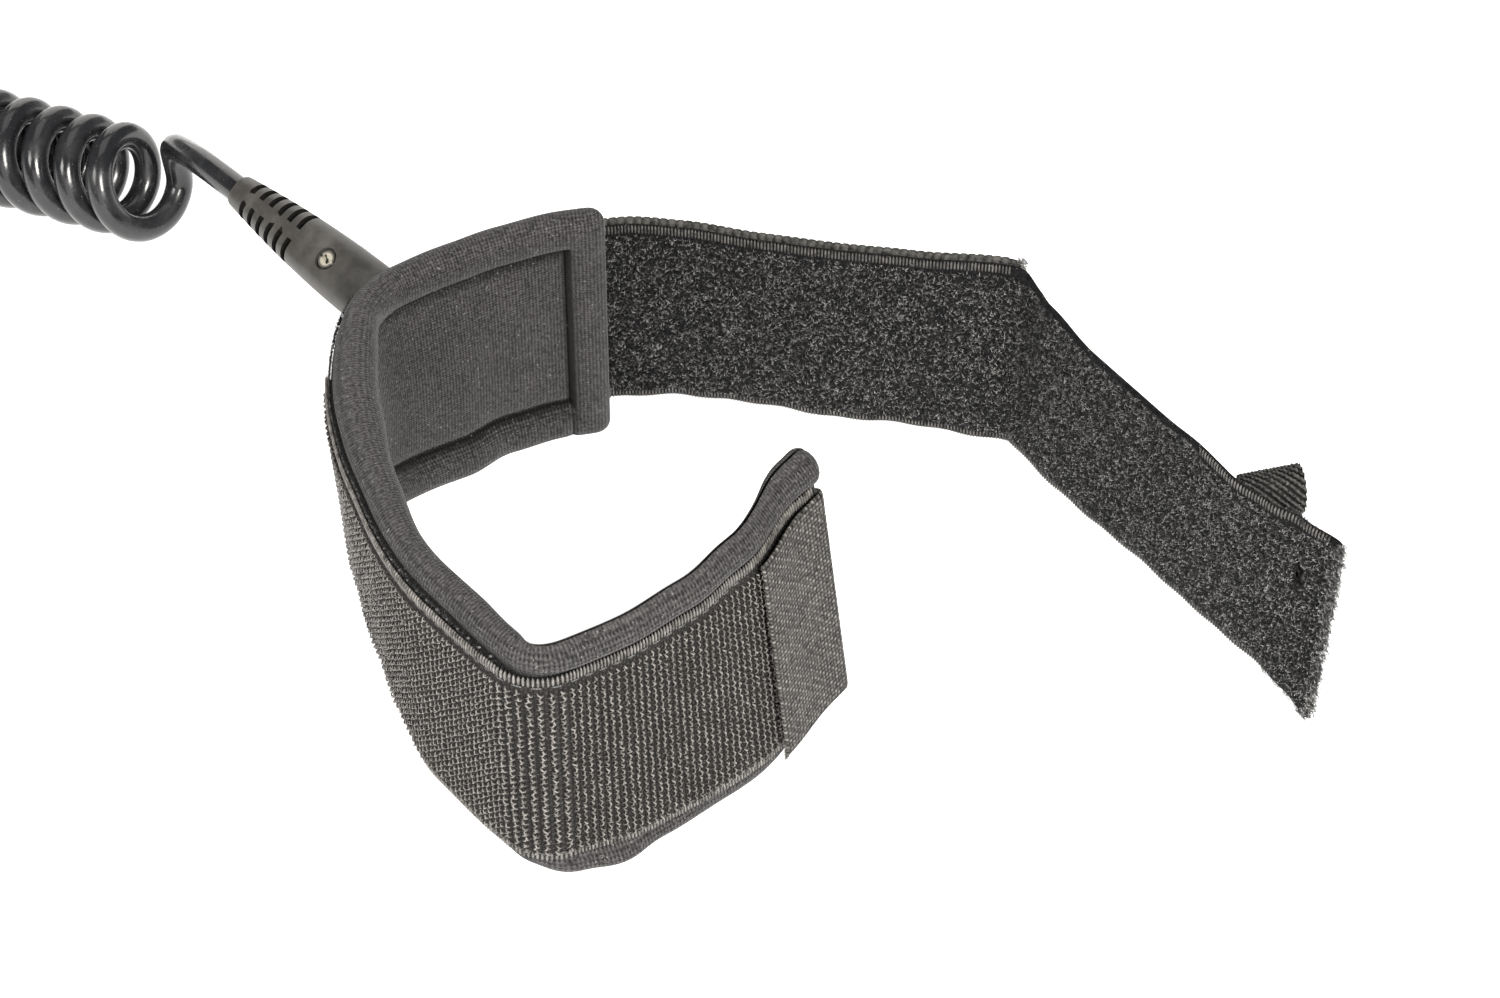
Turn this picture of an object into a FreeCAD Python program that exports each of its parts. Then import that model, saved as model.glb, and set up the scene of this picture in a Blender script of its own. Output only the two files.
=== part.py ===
import FreeCAD, Part
import math
import os

# Padded wrist strap with a coiled cord, standing on the lower edge of its cuff.
# Millimetres. The origin is on the ground under the middle of the cuff, the free
# strap and the near cord end. +X runs along the free strap, +Y away from the
# cuff's fold, +Z up.
#
# The cuff is a wall that follows a line in plan, the pad's outer face. Offsets to
# the left of that line, positive, lie inside the cuff. The pad folds once at the
# front, the strap once in the middle, and each fold is the axis of a hinge.

Vector = FreeCAD.Vector
UP = Vector(0, 0, 1)

DOC = FreeCAD.newDocument("wrist_strap")
SHEET = DOC.addObject("Spreadsheet::Sheet", "sizes")

# Driving sizes, one row each: alias, value in millimetres or degrees.
SIZES = [
    ("pad_height", 60), ("pad_thick", 5.8), ("rim_width", 8), ("panel_thick", 4.2),
    ("panel_crown", 0.5), ("rim_corner", 4.1), ("rim_press", 0.2),
    ("tape_width", 50), ("tape_low", 5), ("base_thick", 1.2), ("hook_thick", 1.8),
    ("hook_start", 78), ("tab_length", 22), ("tab_thick", 1.3), ("tab_gap", 0.5),
    ("tab_lift", 6),
    ("loop_thick", 2), ("sewn_length", 27), ("backing_thick", 1), ("backing_width", 46),
    ("strap_droop", 2.6), ("tip_slant", 1), ("tip_round", 3),
    ("slit_width", 0.9), ("slit_height", 3.6), ("slit_above", 41),
    ("pad_gap", 0.22), ("layer_gap", 0.1), ("fold_relief", 14), ("flap_relief", 26),
    ("stitch_length", 2.4), ("stitch_thick", 0.5), ("stitch_pitch", 4), ("stitch_inset", 1.6), ("stitch_gap", 0.3),
    ("pull_width", 12.2), ("pull_thick", 1.2), ("pull_radius", 3.5), ("pull_foot", 30),
    ("cord_wide", 6), ("coil_radius", 9.8), ("coil_pitch", 7.9), ("coil_turns", 17.25),
    ("coil_lean", 20.4),
    ("horn_length", 48), ("horn_small", 7.4), ("horn_broad", 13.5), ("horn_deep", 9),
    ("horn_roll", 33), ("horn_level", 30), ("horn_gap", 7.65),
    ("slot_count", 6), ("slot_pitch", 3.2), ("slot_wide", 0.9), ("slot_first", 5.2),
    ("slot_spine", 2.8), ("slot_web", 1), ("core_wall", 0.55),
    ("tongue_width", 10), ("tongue_thick", 2), ("tongue_depth", 19.5),
    ("fit_gap", 0.1), ("bore_gap", 0.05),
    ("screw_station", 32), ("screw_shank", 2), ("screw_head", 3.8), ("head_high", 1),
    ("recess_wide", 5), ("recess_deep", 1.2), ("driver_wide", 0.6), ("driver_deep", 0.5),
    ("nut_wide", 4), ("nut_long", 2.6), ("thread_gap", 0.03),
    ("crimp_wide", 7), ("crimp_long", 5), ("crimp_station", 22.8),
    ("anchor_width", 12), ("anchor_flange", 11), ("anchor_thick", 1.2), ("anchor_station", 35.4),
    ("neck_thick", 2.2), ("neck_length", 3.4), ("swing_gap", 0.25),
    ("eye_neck", 6), ("eye_length", 26), ("eye_height", 8.4), ("eye_thick", 1),
]
for row, (alias, value) in enumerate(SIZES, start=1):
    SHEET.set("A%d" % row, alias)
    SHEET.set("B%d" % row, str(value))
    SHEET.setAlias("B%d" % row, alias)
DOC.recompute()


def size(alias):
    """Value of a driving size."""
    return float(SHEET.get(alias))


def level(heading):
    """Horizontal unit vector with a heading in degrees from X."""
    return Vector(math.cos(math.radians(heading)), math.sin(math.radians(heading)), 0)


class Course:
    """A line in plan of straight and round stretches, each joined on smoothly.

    What stands on it leans: each row of leans gives a station and how far the low
    and the high edge of the tape are moved there to the left of the line. Each row
    of fullness gives the share of its thickness that the pad keeps at a station.
    """

    def __init__(self, x, y, heading, stretches, leans, fullness=((0, 1), (1, 1))):
        self.leans = leans
        self.fullness = fullness
        self.pieces = []
        station = 0.0
        for length, turn in stretches:
            self.pieces.append((station, x, y, heading, length, turn))
            x, y, heading = self.advance(x, y, heading, length, turn, length)
            station += length
        self.length = station

    @staticmethod
    def advance(x, y, heading, length, turn, along):
        """Place and heading after going along part of one stretch."""
        turned = turn * along / length
        half = math.radians(turned / 2)
        chord = along * (math.sin(half) / half if half else 1)
        way = math.radians(heading) + half
        return x + chord * math.cos(way), y + chord * math.sin(way), heading + turned

    def at(self, station):
        """Place and heading at a station. Past an end the line goes on straight."""
        if station > self.length:
            x, y, heading = self.at(self.length)
            return self.advance(x, y, heading, 1, 0, station - self.length)
        piece = self.pieces[0]
        for candidate in self.pieces:
            if candidate[0] <= station:
                piece = candidate
        start, x, y, heading, length, turn = piece
        if station < start:
            turn = 0
        return self.advance(x, y, heading, length, turn, station - start)

    @staticmethod
    def between(rows, station):
        """Values of a table at a station, eased from row to row."""
        station = min(max(station, rows[0][0]), rows[-1][0])
        for first, last in zip(rows, rows[1:]):
            if first[0] <= station <= last[0]:
                part = (station - first[0]) / (last[0] - first[0])
                part = part * part * (3 - 2 * part)
                return [a + (b - a) * part for a, b in zip(first[1:], last[1:])]

    def full(self, station):
        """Share of its thickness that the pad keeps."""
        return self.between(self.fullness, station)[0]

    def point(self, station, offset, height):
        """Point of the leaning wall at an offset to the left of the line."""
        x, y, heading = self.at(station)
        low, high = self.between(self.leans, station)
        if offset > 0:
            offset = offset * self.full(station)
        offset += low + (high - low) * (height - LOW) / (HIGH - LOW)
        side = level(heading + 90) * offset
        return Vector(x + side.x, y + side.y, height)

    def ahead(self, station):
        """Unit vector along the line."""
        return level(self.at(station)[2])

    def left(self, station):
        """Unit vector to the left of the line."""
        return UP.cross(self.ahead(station))

    def curve(self, begin, end, offset, height):
        """Smooth curve along the leaning wall at an offset and height."""
        count = max(2, math.ceil(abs(end - begin) / 3) + 1)
        points = [self.point(begin + (end - begin) * step / (count - 1), offset, height)
                  for step in range(count)]
        spline = Part.BSplineCurve()
        spline.interpolate(points)
        return spline.toShape()


def line(start, finish):
    """Straight edge."""
    return Part.LineSegment(start, finish).toShape()


def wall_outline(course, begin, end, inner, outer, height):
    """Closed outline of a wall at one height."""
    return Part.Wire([
        course.curve(begin, end, inner, height),
        line(course.point(end, inner, height), course.point(end, outer, height)),
        course.curve(end, begin, outer, height),
        line(course.point(begin, outer, height), course.point(begin, inner, height))])


def band(course, begin, end, inner, outer, low, high):
    """Wall of even thickness along a course."""
    return Part.makeLoft([wall_outline(course, begin, end, inner, outer, height)
                          for height in (low, high)], True, True)


def rounded_section(centre, across, along, width, height, radius):
    """Closed rectangle with rounded corners, in the plane of two directions."""
    edges = []
    corners = []
    for sign_a, sign_b in ((1, 1), (-1, 1), (-1, -1), (1, -1)):
        middle = centre + across * (sign_a * (width / 2 - radius)) + along * (sign_b * (height / 2 - radius))
        ends = [middle + across * (sign_a * radius), middle + along * (sign_b * radius)]
        if sign_a * sign_b < 0:
            ends.reverse()
        bulge = middle + (across * sign_a + along * sign_b) * (radius / math.sqrt(2))
        corners.append((ends[0], bulge, ends[1]))
    for number, (start, bulge, finish) in enumerate(corners):
        edges.append(Part.Arc(start, bulge, finish).toShape())
        edges.append(Part.LineSegment(finish, corners[(number + 1) % 4][0]).toShape())
    return Part.Wire(edges)


def beyond(place, heading, low, high, reach):
    """Block that starts at a vertical plane through a place and lies beyond it."""
    block = Part.makeBox(reach, 2 * reach, high - low, Vector(0, -reach, low))
    block.rotate(Vector(0, 0, 0), UP, heading)
    block.translate(Vector(place.x, place.y, 0))
    return block


def add(name, shape, placement=None):
    """Sub-part whose shape is worked out from the sheet."""
    part = DOC.addObject("Part::Feature", name)
    part.Label = name
    part.Shape = shape
    if placement:
        part.Placement = placement
    return part


PARTS = []
TALL = size("pad_height")
LOW = size("tape_low")
HIGH = LOW + size("tape_width")
GAP = size("layer_gap")

# The pad's outer face, from the end beside the strap, round the back left corner
# and the fold, to the end beside the tab. The left side is tucked in below, and
# the flap's end leans back above.
PAD = Course(-30.3, 41.5, 189.5, [
    (9, 0), (37, 26), (17.5, 46), (38, 29), (24, 5), (22, 18), (16, 1.5),
    (11, 76), (26, 5), (27, 15), (17, 0)], [
        (0, -0.3, 0.3), (10, -0.3, 0.3), (22, -1.2, 1.4), (40, 0.8, 2.2), (60, 1.5, 2), (76, 3.6, 2),
        (92, 5.2, 1.8), (108, 4.6, 1.2), (124, 3.4, 0.6), (146, 1.8, 0.4), (164, -0.4, -0.4),
        (174, -0.4, -0.4), (187, -2.8, -0.8), (201, -2.6, 0.6), (215, -2.6, 3.4),
        (235, 1.4, 9.8), (245, 1.4, 9.8)], [
            (112, 1), (135, 0.8), (160, 0.55), (187, 0.45), (222, 0.5), (236, 0.8)])
PAD_FOLD = 169
TAPE_STOP = 240.5
OVERRUN = 1.5
BASE_IN = -size("pad_gap")
BASE_OUT = BASE_IN - size("base_thick")
HOOK_IN = BASE_OUT - GAP
HOOK_OUT = HOOK_IN - size("hook_thick")

# The fold's axis is the outer face of the hook tape, so nothing lies outside it
# and the flap can open without its layers meeting.
FLAP_AXIS = PAD.point(PAD_FOLD, HOOK_OUT - GAP, 0)
FLAP_HEADING = PAD.at(PAD_FOLD)[2]
REACH = 16
REAR_TOOL = beyond(FLAP_AXIS, FLAP_HEADING + size("flap_relief") / 2, -1, TALL + 1, REACH)
FRONT_TOOL = beyond(FLAP_AXIS, FLAP_HEADING + 180 - size("flap_relief") / 2, -1, TALL + 1, REACH)


def rim_section(station, height):
    """Rounded section of the rolled border. It leans as the wall does."""
    thick = size("pad_thick") * PAD.full(station)
    across = PAD.left(station)
    along = (PAD.point(station, 0, HIGH) - PAD.point(station, 0, LOW)) * (1 / (HIGH - LOW))
    return rounded_section(PAD.point(station, size("pad_thick") / 2, height), across, along,
                           thick, size("rim_width"), 0.42 * thick)


def rail(begin, end, height):
    """Level stretch of the rolled border."""
    steps = math.ceil(abs(end - begin) / 4)
    stations = [begin + (end - begin) * step / steps for step in range(steps + 1)]
    return Part.makeLoft([rim_section(station, height) for station in stations], True, False)


def rim(open_end, closed_end, tool):
    """Rolled border of one half of the pad: a lower rail, an end rail and an upper rail.

    The lower rail is pressed flat where it stands on the ground.
    """
    half = size("rim_width") / 2
    turn = size("rim_corner")
    inward = 1 if open_end > closed_end else -1
    bend = closed_end + inward * (half + turn)
    thick = size("pad_thick") * PAD.full(bend)
    side = PAD.left(bend)
    away = PAD.ahead(bend) * -inward
    solids = []
    ends = []
    for height, way in ((half - size("rim_press"), 1), (TALL - half, -1)):
        solids.append(rail(open_end, bend, height))
        axis = PAD.point(bend, size("pad_thick") / 2, height) + UP * (way * turn)
        quarter = Part.Face(rim_section(bend, height))
        quarter = quarter.revolve(axis, side, 90 * way * inward)
        solids.append(quarter)
        ends.append(rounded_section(axis + away * turn, side, away, thick, size("rim_width"),
                                    0.42 * thick))
    solids.append(Part.makeLoft(ends, True, True))
    ground = Part.makeBox(600, 600, 9, Vector(-300, -300, -9))
    return solids[0].fuse(solids[1:]).cut([tool, ground])


def panel(open_end, closed_end, tool):
    """Foam panel inside the border, flat outside and crowned inside."""
    margin = size("rim_width") + GAP
    inward = 1 if open_end > closed_end else -1
    begin, end = sorted((open_end, closed_end + inward * margin))
    low = margin
    high = TALL - margin
    edge = size("panel_thick") - size("panel_crown")
    outlines = [wall_outline(PAD, begin, end, edge, 0, low),
                wall_outline(PAD, begin, end, size("panel_thick"), 0, (low + high) / 2),
                wall_outline(PAD, begin, end, edge, 0, high)]
    return Part.makeLoft(outlines, True, False).cut(tool)


def stitches(course, begin, end, offset, outward, heights):
    """Rows of separate stitches along a course."""
    long = size("stitch_length")
    thick = size("stitch_thick")
    made = []
    for height in heights:
        for number in range(int((end - begin) / size("stitch_pitch"))):
            middle = begin + number * size("stitch_pitch") + long / 2
            stitch = Part.makeBox(long, thick, thick, Vector(-long / 2, -thick / 2, -thick / 2))
            stitch.rotate(Vector(0, 0, 0), UP, course.at(middle)[2])
            stitch.translate(course.point(middle, offset + outward * thick / 2, height))
            made.append(stitch)
    return Part.makeCompound(made)


STITCH_ROWS = (LOW + size("stitch_inset"), HIGH - size("stitch_inset"))
STITCH_GAP = size("stitch_gap")
REAR_END = PAD_FOLD + OVERRUN
FRONT_START = PAD_FOLD - OVERRUN

# Rear half of the cuff.
PARTS.append(add("rolled_rim_rear", rim(REAR_END, 0, REAR_TOOL)))
PARTS.append(add("inner_panel_rear", panel(REAR_END, 0, REAR_TOOL)))
PARTS.append(add("base_tape_rear", band(PAD, 2, REAR_END, BASE_IN, BASE_OUT, LOW, HIGH).cut(REAR_TOOL)))
PARTS.append(add("hook_tape_rear", band(PAD, size("hook_start"), REAR_END, HOOK_IN, HOOK_OUT,
                                        LOW, HIGH).cut(REAR_TOOL)))
PARTS.append(add("seam_stitches_rear", stitches(PAD, size("hook_start") + 2, PAD_FOLD - 8,
                                                HOOK_OUT - STITCH_GAP, -1, STITCH_ROWS)))

# Front half of the cuff, the flap. Its hook tape turns back at the end, and the
# half ring of that fold belongs to the tape.
TAB_IN = HOOK_OUT - size("tab_gap")
TAB_OUT = TAB_IN - size("tab_thick")
TAB_END = TAPE_STOP - (HOOK_IN - TAB_OUT) / 2


def hook_front():
    """Hook tape of the flap, with the half ring where it turns back on itself."""
    middle = (HOOK_IN + TAB_OUT) / 2
    outer = HOOK_IN - middle
    inner = outer - size("tab_thick")
    outlines = []
    for height in (LOW, HIGH):
        turn = Part.Arc(PAD.point(TAB_END, HOOK_IN, height),
                        PAD.point(TAB_END + outer, middle, height),
                        PAD.point(TAB_END, TAB_OUT, height)).toShape()
        back = Part.Arc(PAD.point(TAB_END, TAB_IN, height),
                        PAD.point(TAB_END + inner, middle, height),
                        PAD.point(TAB_END, HOOK_OUT, height)).toShape()
        outlines.append(Part.Wire([
            PAD.curve(FRONT_START, TAB_END, HOOK_IN, height), turn,
            line(PAD.point(TAB_END, TAB_OUT, height), PAD.point(TAB_END, TAB_IN, height)), back,
            PAD.curve(TAB_END, FRONT_START, HOOK_OUT, height),
            line(PAD.point(FRONT_START, HOOK_OUT, height), PAD.point(FRONT_START, HOOK_IN, height))]))
    return Part.makeLoft(outlines, True, True).cut(FRONT_TOOL)


PARTS.append(add("rolled_rim_front", rim(FRONT_START, PAD.length, FRONT_TOOL)))
PARTS.append(add("inner_panel_front", panel(FRONT_START, PAD.length, FRONT_TOOL)))
PARTS.append(add("base_tape_front", band(PAD, FRONT_START, TAPE_STOP - 2, BASE_IN, BASE_OUT,
                                         LOW, HIGH).cut(FRONT_TOOL)))
PARTS.append(add("hook_tape_front", hook_front()))
PARTS.append(add("seam_stitches_front", stitches(PAD, PAD_FOLD + 8, TAB_END - size("tab_length") - 3,
                                                 HOOK_OUT - STITCH_GAP, -1, STITCH_ROWS)))

# Folded tab, the woven back of the same tape. Its free edge stands off the hooks.
TAB_START = TAB_END - GAP
TAB_AXIS = PAD.point(TAB_START, TAB_OUT, LOW)
TAB_UP = PAD.point(TAB_START, TAB_OUT, HIGH) - TAB_AXIS
TAB_UP.normalize()
TAB_PLATE = band(PAD, TAB_START - size("tab_length"), TAB_START, TAB_IN, TAB_OUT, LOW, HIGH)
TAB_PLATE.rotate(TAB_AXIS, TAB_UP, size("tab_lift"))
PARTS.append(add("folded_tab", TAB_PLATE))

# Closing strap. It is sewn to the outside of the back panel and runs on past it.
SEWN_IN = BASE_OUT - GAP
SEWN_OUT = SEWN_IN - size("loop_thick")
SEWN_MIDDLE = (SEWN_IN + SEWN_OUT) / 2
ROOT = PAD.point(0, SEWN_MIDDLE, (LOW + HIGH) / 2)
STRAP = Course(ROOT.x, ROOT.y, PAD.at(0)[2] - 180, [
    (12, -15), (14, -5), (30, 1), (28.5, -4), (3, -40.5), (30, 1), (30, -1), (31.2, 1)], [
        (3, 0, 0), (16, 1.4, -0.7), (32, 1, -1.9), (48, 0.2, -2.2), (64, 0.4, -1.8), (82, 0, 0),
        (89, -0.5, -0.5), (97, -1, -3.4), (112, -0.5, -5), (136, 0.7, -4.8), (152, 1, -4.4),
        (162, 1.8, -2.8), (170, 1.4, -0.4), (178, 0, 1.2)])
STRAP_CREASE = 86
HALF = size("loop_thick") / 2
ROOT_STATION = 1.5
BACK = HALF + GAP + size("backing_thick") + GAP
ROOT_AXIS = STRAP.point(ROOT_STATION, BACK, 0)
CREASE_AXIS = STRAP.point(STRAP_CREASE, BACK, 0)


def fold_tools(course, axis, station):
    """Blocks that trim the stretches before and after a fold, with room to fold further."""
    heading = course.at(station)[2]
    relief = size("fold_relief")
    before = beyond(axis, heading - relief / 2, -9, TALL + 9, REACH)
    after = beyond(axis, heading + 180 + relief / 2, -9, TALL + 9, REACH)
    return before, after


ROOT_BEFORE, ROOT_AFTER = fold_tools(STRAP, ROOT_AXIS, ROOT_STATION)
CREASE_BEFORE, CREASE_AFTER = fold_tools(STRAP, CREASE_AXIS, STRAP_CREASE)

SEWN = band(PAD, 0, size("sewn_length"), SEWN_IN, SEWN_OUT, LOW, HIGH)
SEWN = SEWN.fuse(band(STRAP, 0, ROOT_STATION + OVERRUN, -HALF, HALF, LOW, HIGH))
PARTS.append(add("strap_sewn_end", SEWN.cut(ROOT_BEFORE).removeSplitter()))

INNER = band(STRAP, ROOT_STATION - OVERRUN, STRAP_CREASE + OVERRUN, -HALF, HALF, LOW, HIGH)
PARTS.append(add("loop_tape_inner", INNER.cut(ROOT_AFTER).cut(CREASE_BEFORE)))
BACKING_LOW = LOW + (size("tape_width") - size("backing_width")) / 2
BACKING_HIGH = BACKING_LOW + size("backing_width")
BACKING = band(STRAP, ROOT_STATION + 1, STRAP_CREASE - 1, HALF + GAP, HALF + GAP + size("backing_thick"),
               BACKING_LOW, BACKING_HIGH)
PARTS.append(add("backing_webbing", BACKING.cut(ROOT_AFTER).cut(CREASE_BEFORE)))
PARTS.append(add("backing_stitches", stitches(STRAP, 6, STRAP_CREASE - 5,
                                              BACK - GAP + STITCH_GAP, 1,
                                              (BACKING_LOW + size("stitch_inset"),
                                               BACKING_HIGH - size("stitch_inset")))))

# Outer stretch: it droops towards its slanted, round-cornered tip.
TIP = STRAP.length
CREASE_MIDDLE = STRAP.point(STRAP_CREASE, 0, (LOW + HIGH) / 2)
DROOP_AXIS = STRAP.left(STRAP_CREASE + 20)


def drooped(shape):
    """Turn what hangs on the outer stretch down about the crease."""
    shape.rotate(CREASE_MIDDLE, DROOP_AXIS, size("strap_droop"))
    return shape


def tip_outline():
    """Plate across the strap whose end is slanted and rounded at its lower corner."""
    ahead = STRAP.ahead(TIP)
    side = STRAP.left(TIP)
    start = STRAP.point(TIP - 45, -9, LOW - 1)
    top_near = start + UP * (size("tape_width") + 2)
    top_far = top_near + ahead * 45
    low_far = start + ahead * (45 - size("tip_slant"))
    plate = Part.Face(Part.makePolygon([start, top_near, top_far, low_far, start])).extrude(side * 18)
    corners = []
    for edge in plate.Edges:
        middle = edge.CenterOfMass
        if abs((middle - low_far).cross(side).Length) < 0.01:
            corners.append(edge)
    return plate.makeFillet(size("tip_round"), corners)


OUTER = band(STRAP, STRAP_CREASE - 2 * OVERRUN, TIP - 30, -HALF, HALF, LOW, HIGH)
TIP_BAND = band(STRAP, TIP - 30, TIP, -HALF, HALF, LOW, HIGH).common(tip_outline())
SLIT_STATION = TIP - 8
SLIT = Part.makeBox(size("slit_width"), 8, size("slit_height"),
                    Vector(-size("slit_width") / 2, -4, -size("slit_height") / 2))
SLIT.rotate(Vector(0, 0, 0), UP, STRAP.at(SLIT_STATION)[2])
SLIT.translate(STRAP.point(SLIT_STATION, 0, size("slit_above")))
OUTER = OUTER.fuse(TIP_BAND).removeSplitter().cut(SLIT)
PARTS.append(add("loop_tape_outer", drooped(OUTER).cut(CREASE_AFTER)))

# Pull loop of folded webbing behind the tip: two legs that part into an eye. The
# legs are sewn flat on the strap and twist, so that the eye points another way.
PULL_STATION = TIP - 15
PULL_HINGE = STRAP.point(PULL_STATION, HALF + GAP + size("pull_thick") + 0.7, size("pull_foot"))
PULL_EYE = Vector(99.9, -20.4, 41.5)
PULL_ALONG = level(8)


def pull_loop():
    """Eye of webbing on two legs that lie against each other."""
    width = size("pull_width")
    thick = size("pull_thick")
    outer = size("pull_radius") + thick
    start = PULL_EYE - PULL_ALONG * (width / 2)
    eye = Part.makeCylinder(outer, width, start, PULL_ALONG)
    hole = Part.makeCylinder(size("pull_radius"), width, start, PULL_ALONG)
    outlines = []
    for centre, along in ((PULL_HINGE, STRAP.ahead(PULL_STATION)),
                          (PULL_EYE - UP * (outer - thick / 2), PULL_ALONG)):
        half = along * (width / 2)
        side = UP.cross(along) * thick
        outlines.append(Part.makePolygon([centre - half - side, centre + half - side,
                                          centre + half + side, centre - half + side,
                                          centre - half - side]))
    legs = Part.makeLoft(outlines, True, True)
    return eye.fuse(legs).cut(hole).removeSplitter()


PARTS.append(add("pull_loop", pull_loop()))
BAR = band(STRAP, PULL_STATION - 6.5, PULL_STATION + 6.5, HALF + 3 * GAP, HALF + 3 * GAP + 0.8,
           size("pull_foot") - 8, size("pull_foot") - 3)
PARTS.append(add("pull_loop_bar_tack", drooped(BAR)))


# Cord ends. In its own frame a horn's small end is at zero, its axis is X, its
# width Y and the screw's axis Z. The horn widens fast at first, then slowly:
# each row holds shares of its length, of its widening and of its full depth.
HORN_SWELL = [(0.19, 0.36, 0.9), (0.46, 0.75, 0.98)]


def horn_sections():
    """Section sizes along the horn: station, width, depth."""
    small = size("horn_small")
    broad = size("horn_broad")
    deep = size("horn_deep")
    rows = [(0, small, small)]
    for share, widening, depth in HORN_SWELL:
        rows.append((share * size("horn_length"), small + widening * (broad - small), depth * deep))
    return rows + [(size("horn_length"), broad, deep)]


def horn_body():
    """Moulded strain relief with its slots, cord bore, crimp pocket, mouth and screw recess."""
    sections = []
    for station, width, depth in horn_sections():
        sections.append(rounded_section(Vector(station, 0, 0), Vector(0, 1, 0), Vector(0, 0, 1),
                                        width, depth, 0.43 * min(width, depth)))
    body = Part.makeLoft(sections, True, False)
    along = Vector(1, 0, 0)
    wide = 30
    core = size("cord_wide") / 2 + size("bore_gap") + size("core_wall")
    for number in range(int(size("slot_count"))):
        station = size("slot_first") + number * size("slot_pitch")
        start = Vector(station - size("slot_wide") / 2, 0, 0)
        groove = Part.makeCylinder(wide / 2, size("slot_wide"), start, along)
        groove = groove.cut(Part.makeCylinder(core, size("slot_wide"), start, along))
        spine = Part.makeBox(size("slot_wide"), size("slot_spine"), wide,
                             start - Vector(0, size("slot_spine") / 2, wide / 2))
        web = Part.makeBox(size("slot_wide"), wide, size("slot_web"),
                           start - Vector(0, wide / 2, size("slot_web") / 2))
        body = body.cut(groove.cut(spine).cut(web))
    bore = Part.makeCylinder(size("cord_wide") / 2 + size("bore_gap"), size("crimp_station") + 1,
                             Vector(-1, 0, 0), along)
    pocket = Part.makeCylinder(size("crimp_wide") / 2 + size("bore_gap"),
                               size("crimp_long") + 2 * size("fit_gap"),
                               Vector(size("crimp_station") - size("fit_gap"), 0, 0), along)
    mouth = Part.makeBox(size("tongue_depth") + 1 + size("fit_gap"),
                         size("tongue_width") + 2 * size("fit_gap"),
                         size("tongue_thick") + 2 * size("fit_gap"),
                         Vector(size("horn_length") - size("tongue_depth") - size("fit_gap"),
                                -size("tongue_width") / 2 - size("fit_gap"),
                                -size("tongue_thick") / 2 - size("fit_gap")))
    recess = Part.makeCylinder(size("recess_wide") / 2, wide,
                               Vector(size("screw_station"), 0, head_floor()))
    drill = Part.makeCylinder(size("screw_shank") / 2 + size("fit_gap"), wide,
                              Vector(size("screw_station"), 0, -wide / 2))
    nut_room = Part.makeCylinder(size("nut_wide") / 2 + size("fit_gap"), wide,
                                 Vector(size("screw_station"), 0, nut_top() + size("fit_gap") - wide))
    return body.cut([bore, pocket, mouth, recess, drill, nut_room])


def face_height():
    """Half depth of the horn at the screw."""
    return horn_sections()[2][2] / 2


def head_floor():
    """Height of the recess floor that the screw head sits on."""
    return face_height() - size("recess_deep")


def nut_top():
    """Inner end of the threaded nut."""
    return -face_height() + size("fit_gap") + size("nut_long")


def bound(kind, name, label, **expressions):
    """Primitive whose sizes follow the sheet."""
    item = DOC.addObject(kind, name + "_" + label)
    for key, formula in expressions.items():
        item.setExpression(key, formula)
    return item


def frame_at(part, frame, shift):
    """Carry a primitive from the horn's frame to its place."""
    part.Placement = frame.multiply(FreeCAD.Placement(shift, FreeCAD.Rotation()))


def combined(kind, name, base, tool):
    """Boolean of two objects."""
    item = DOC.addObject(kind, name)
    item.Base = base
    item.Tool = tool
    return item


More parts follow.
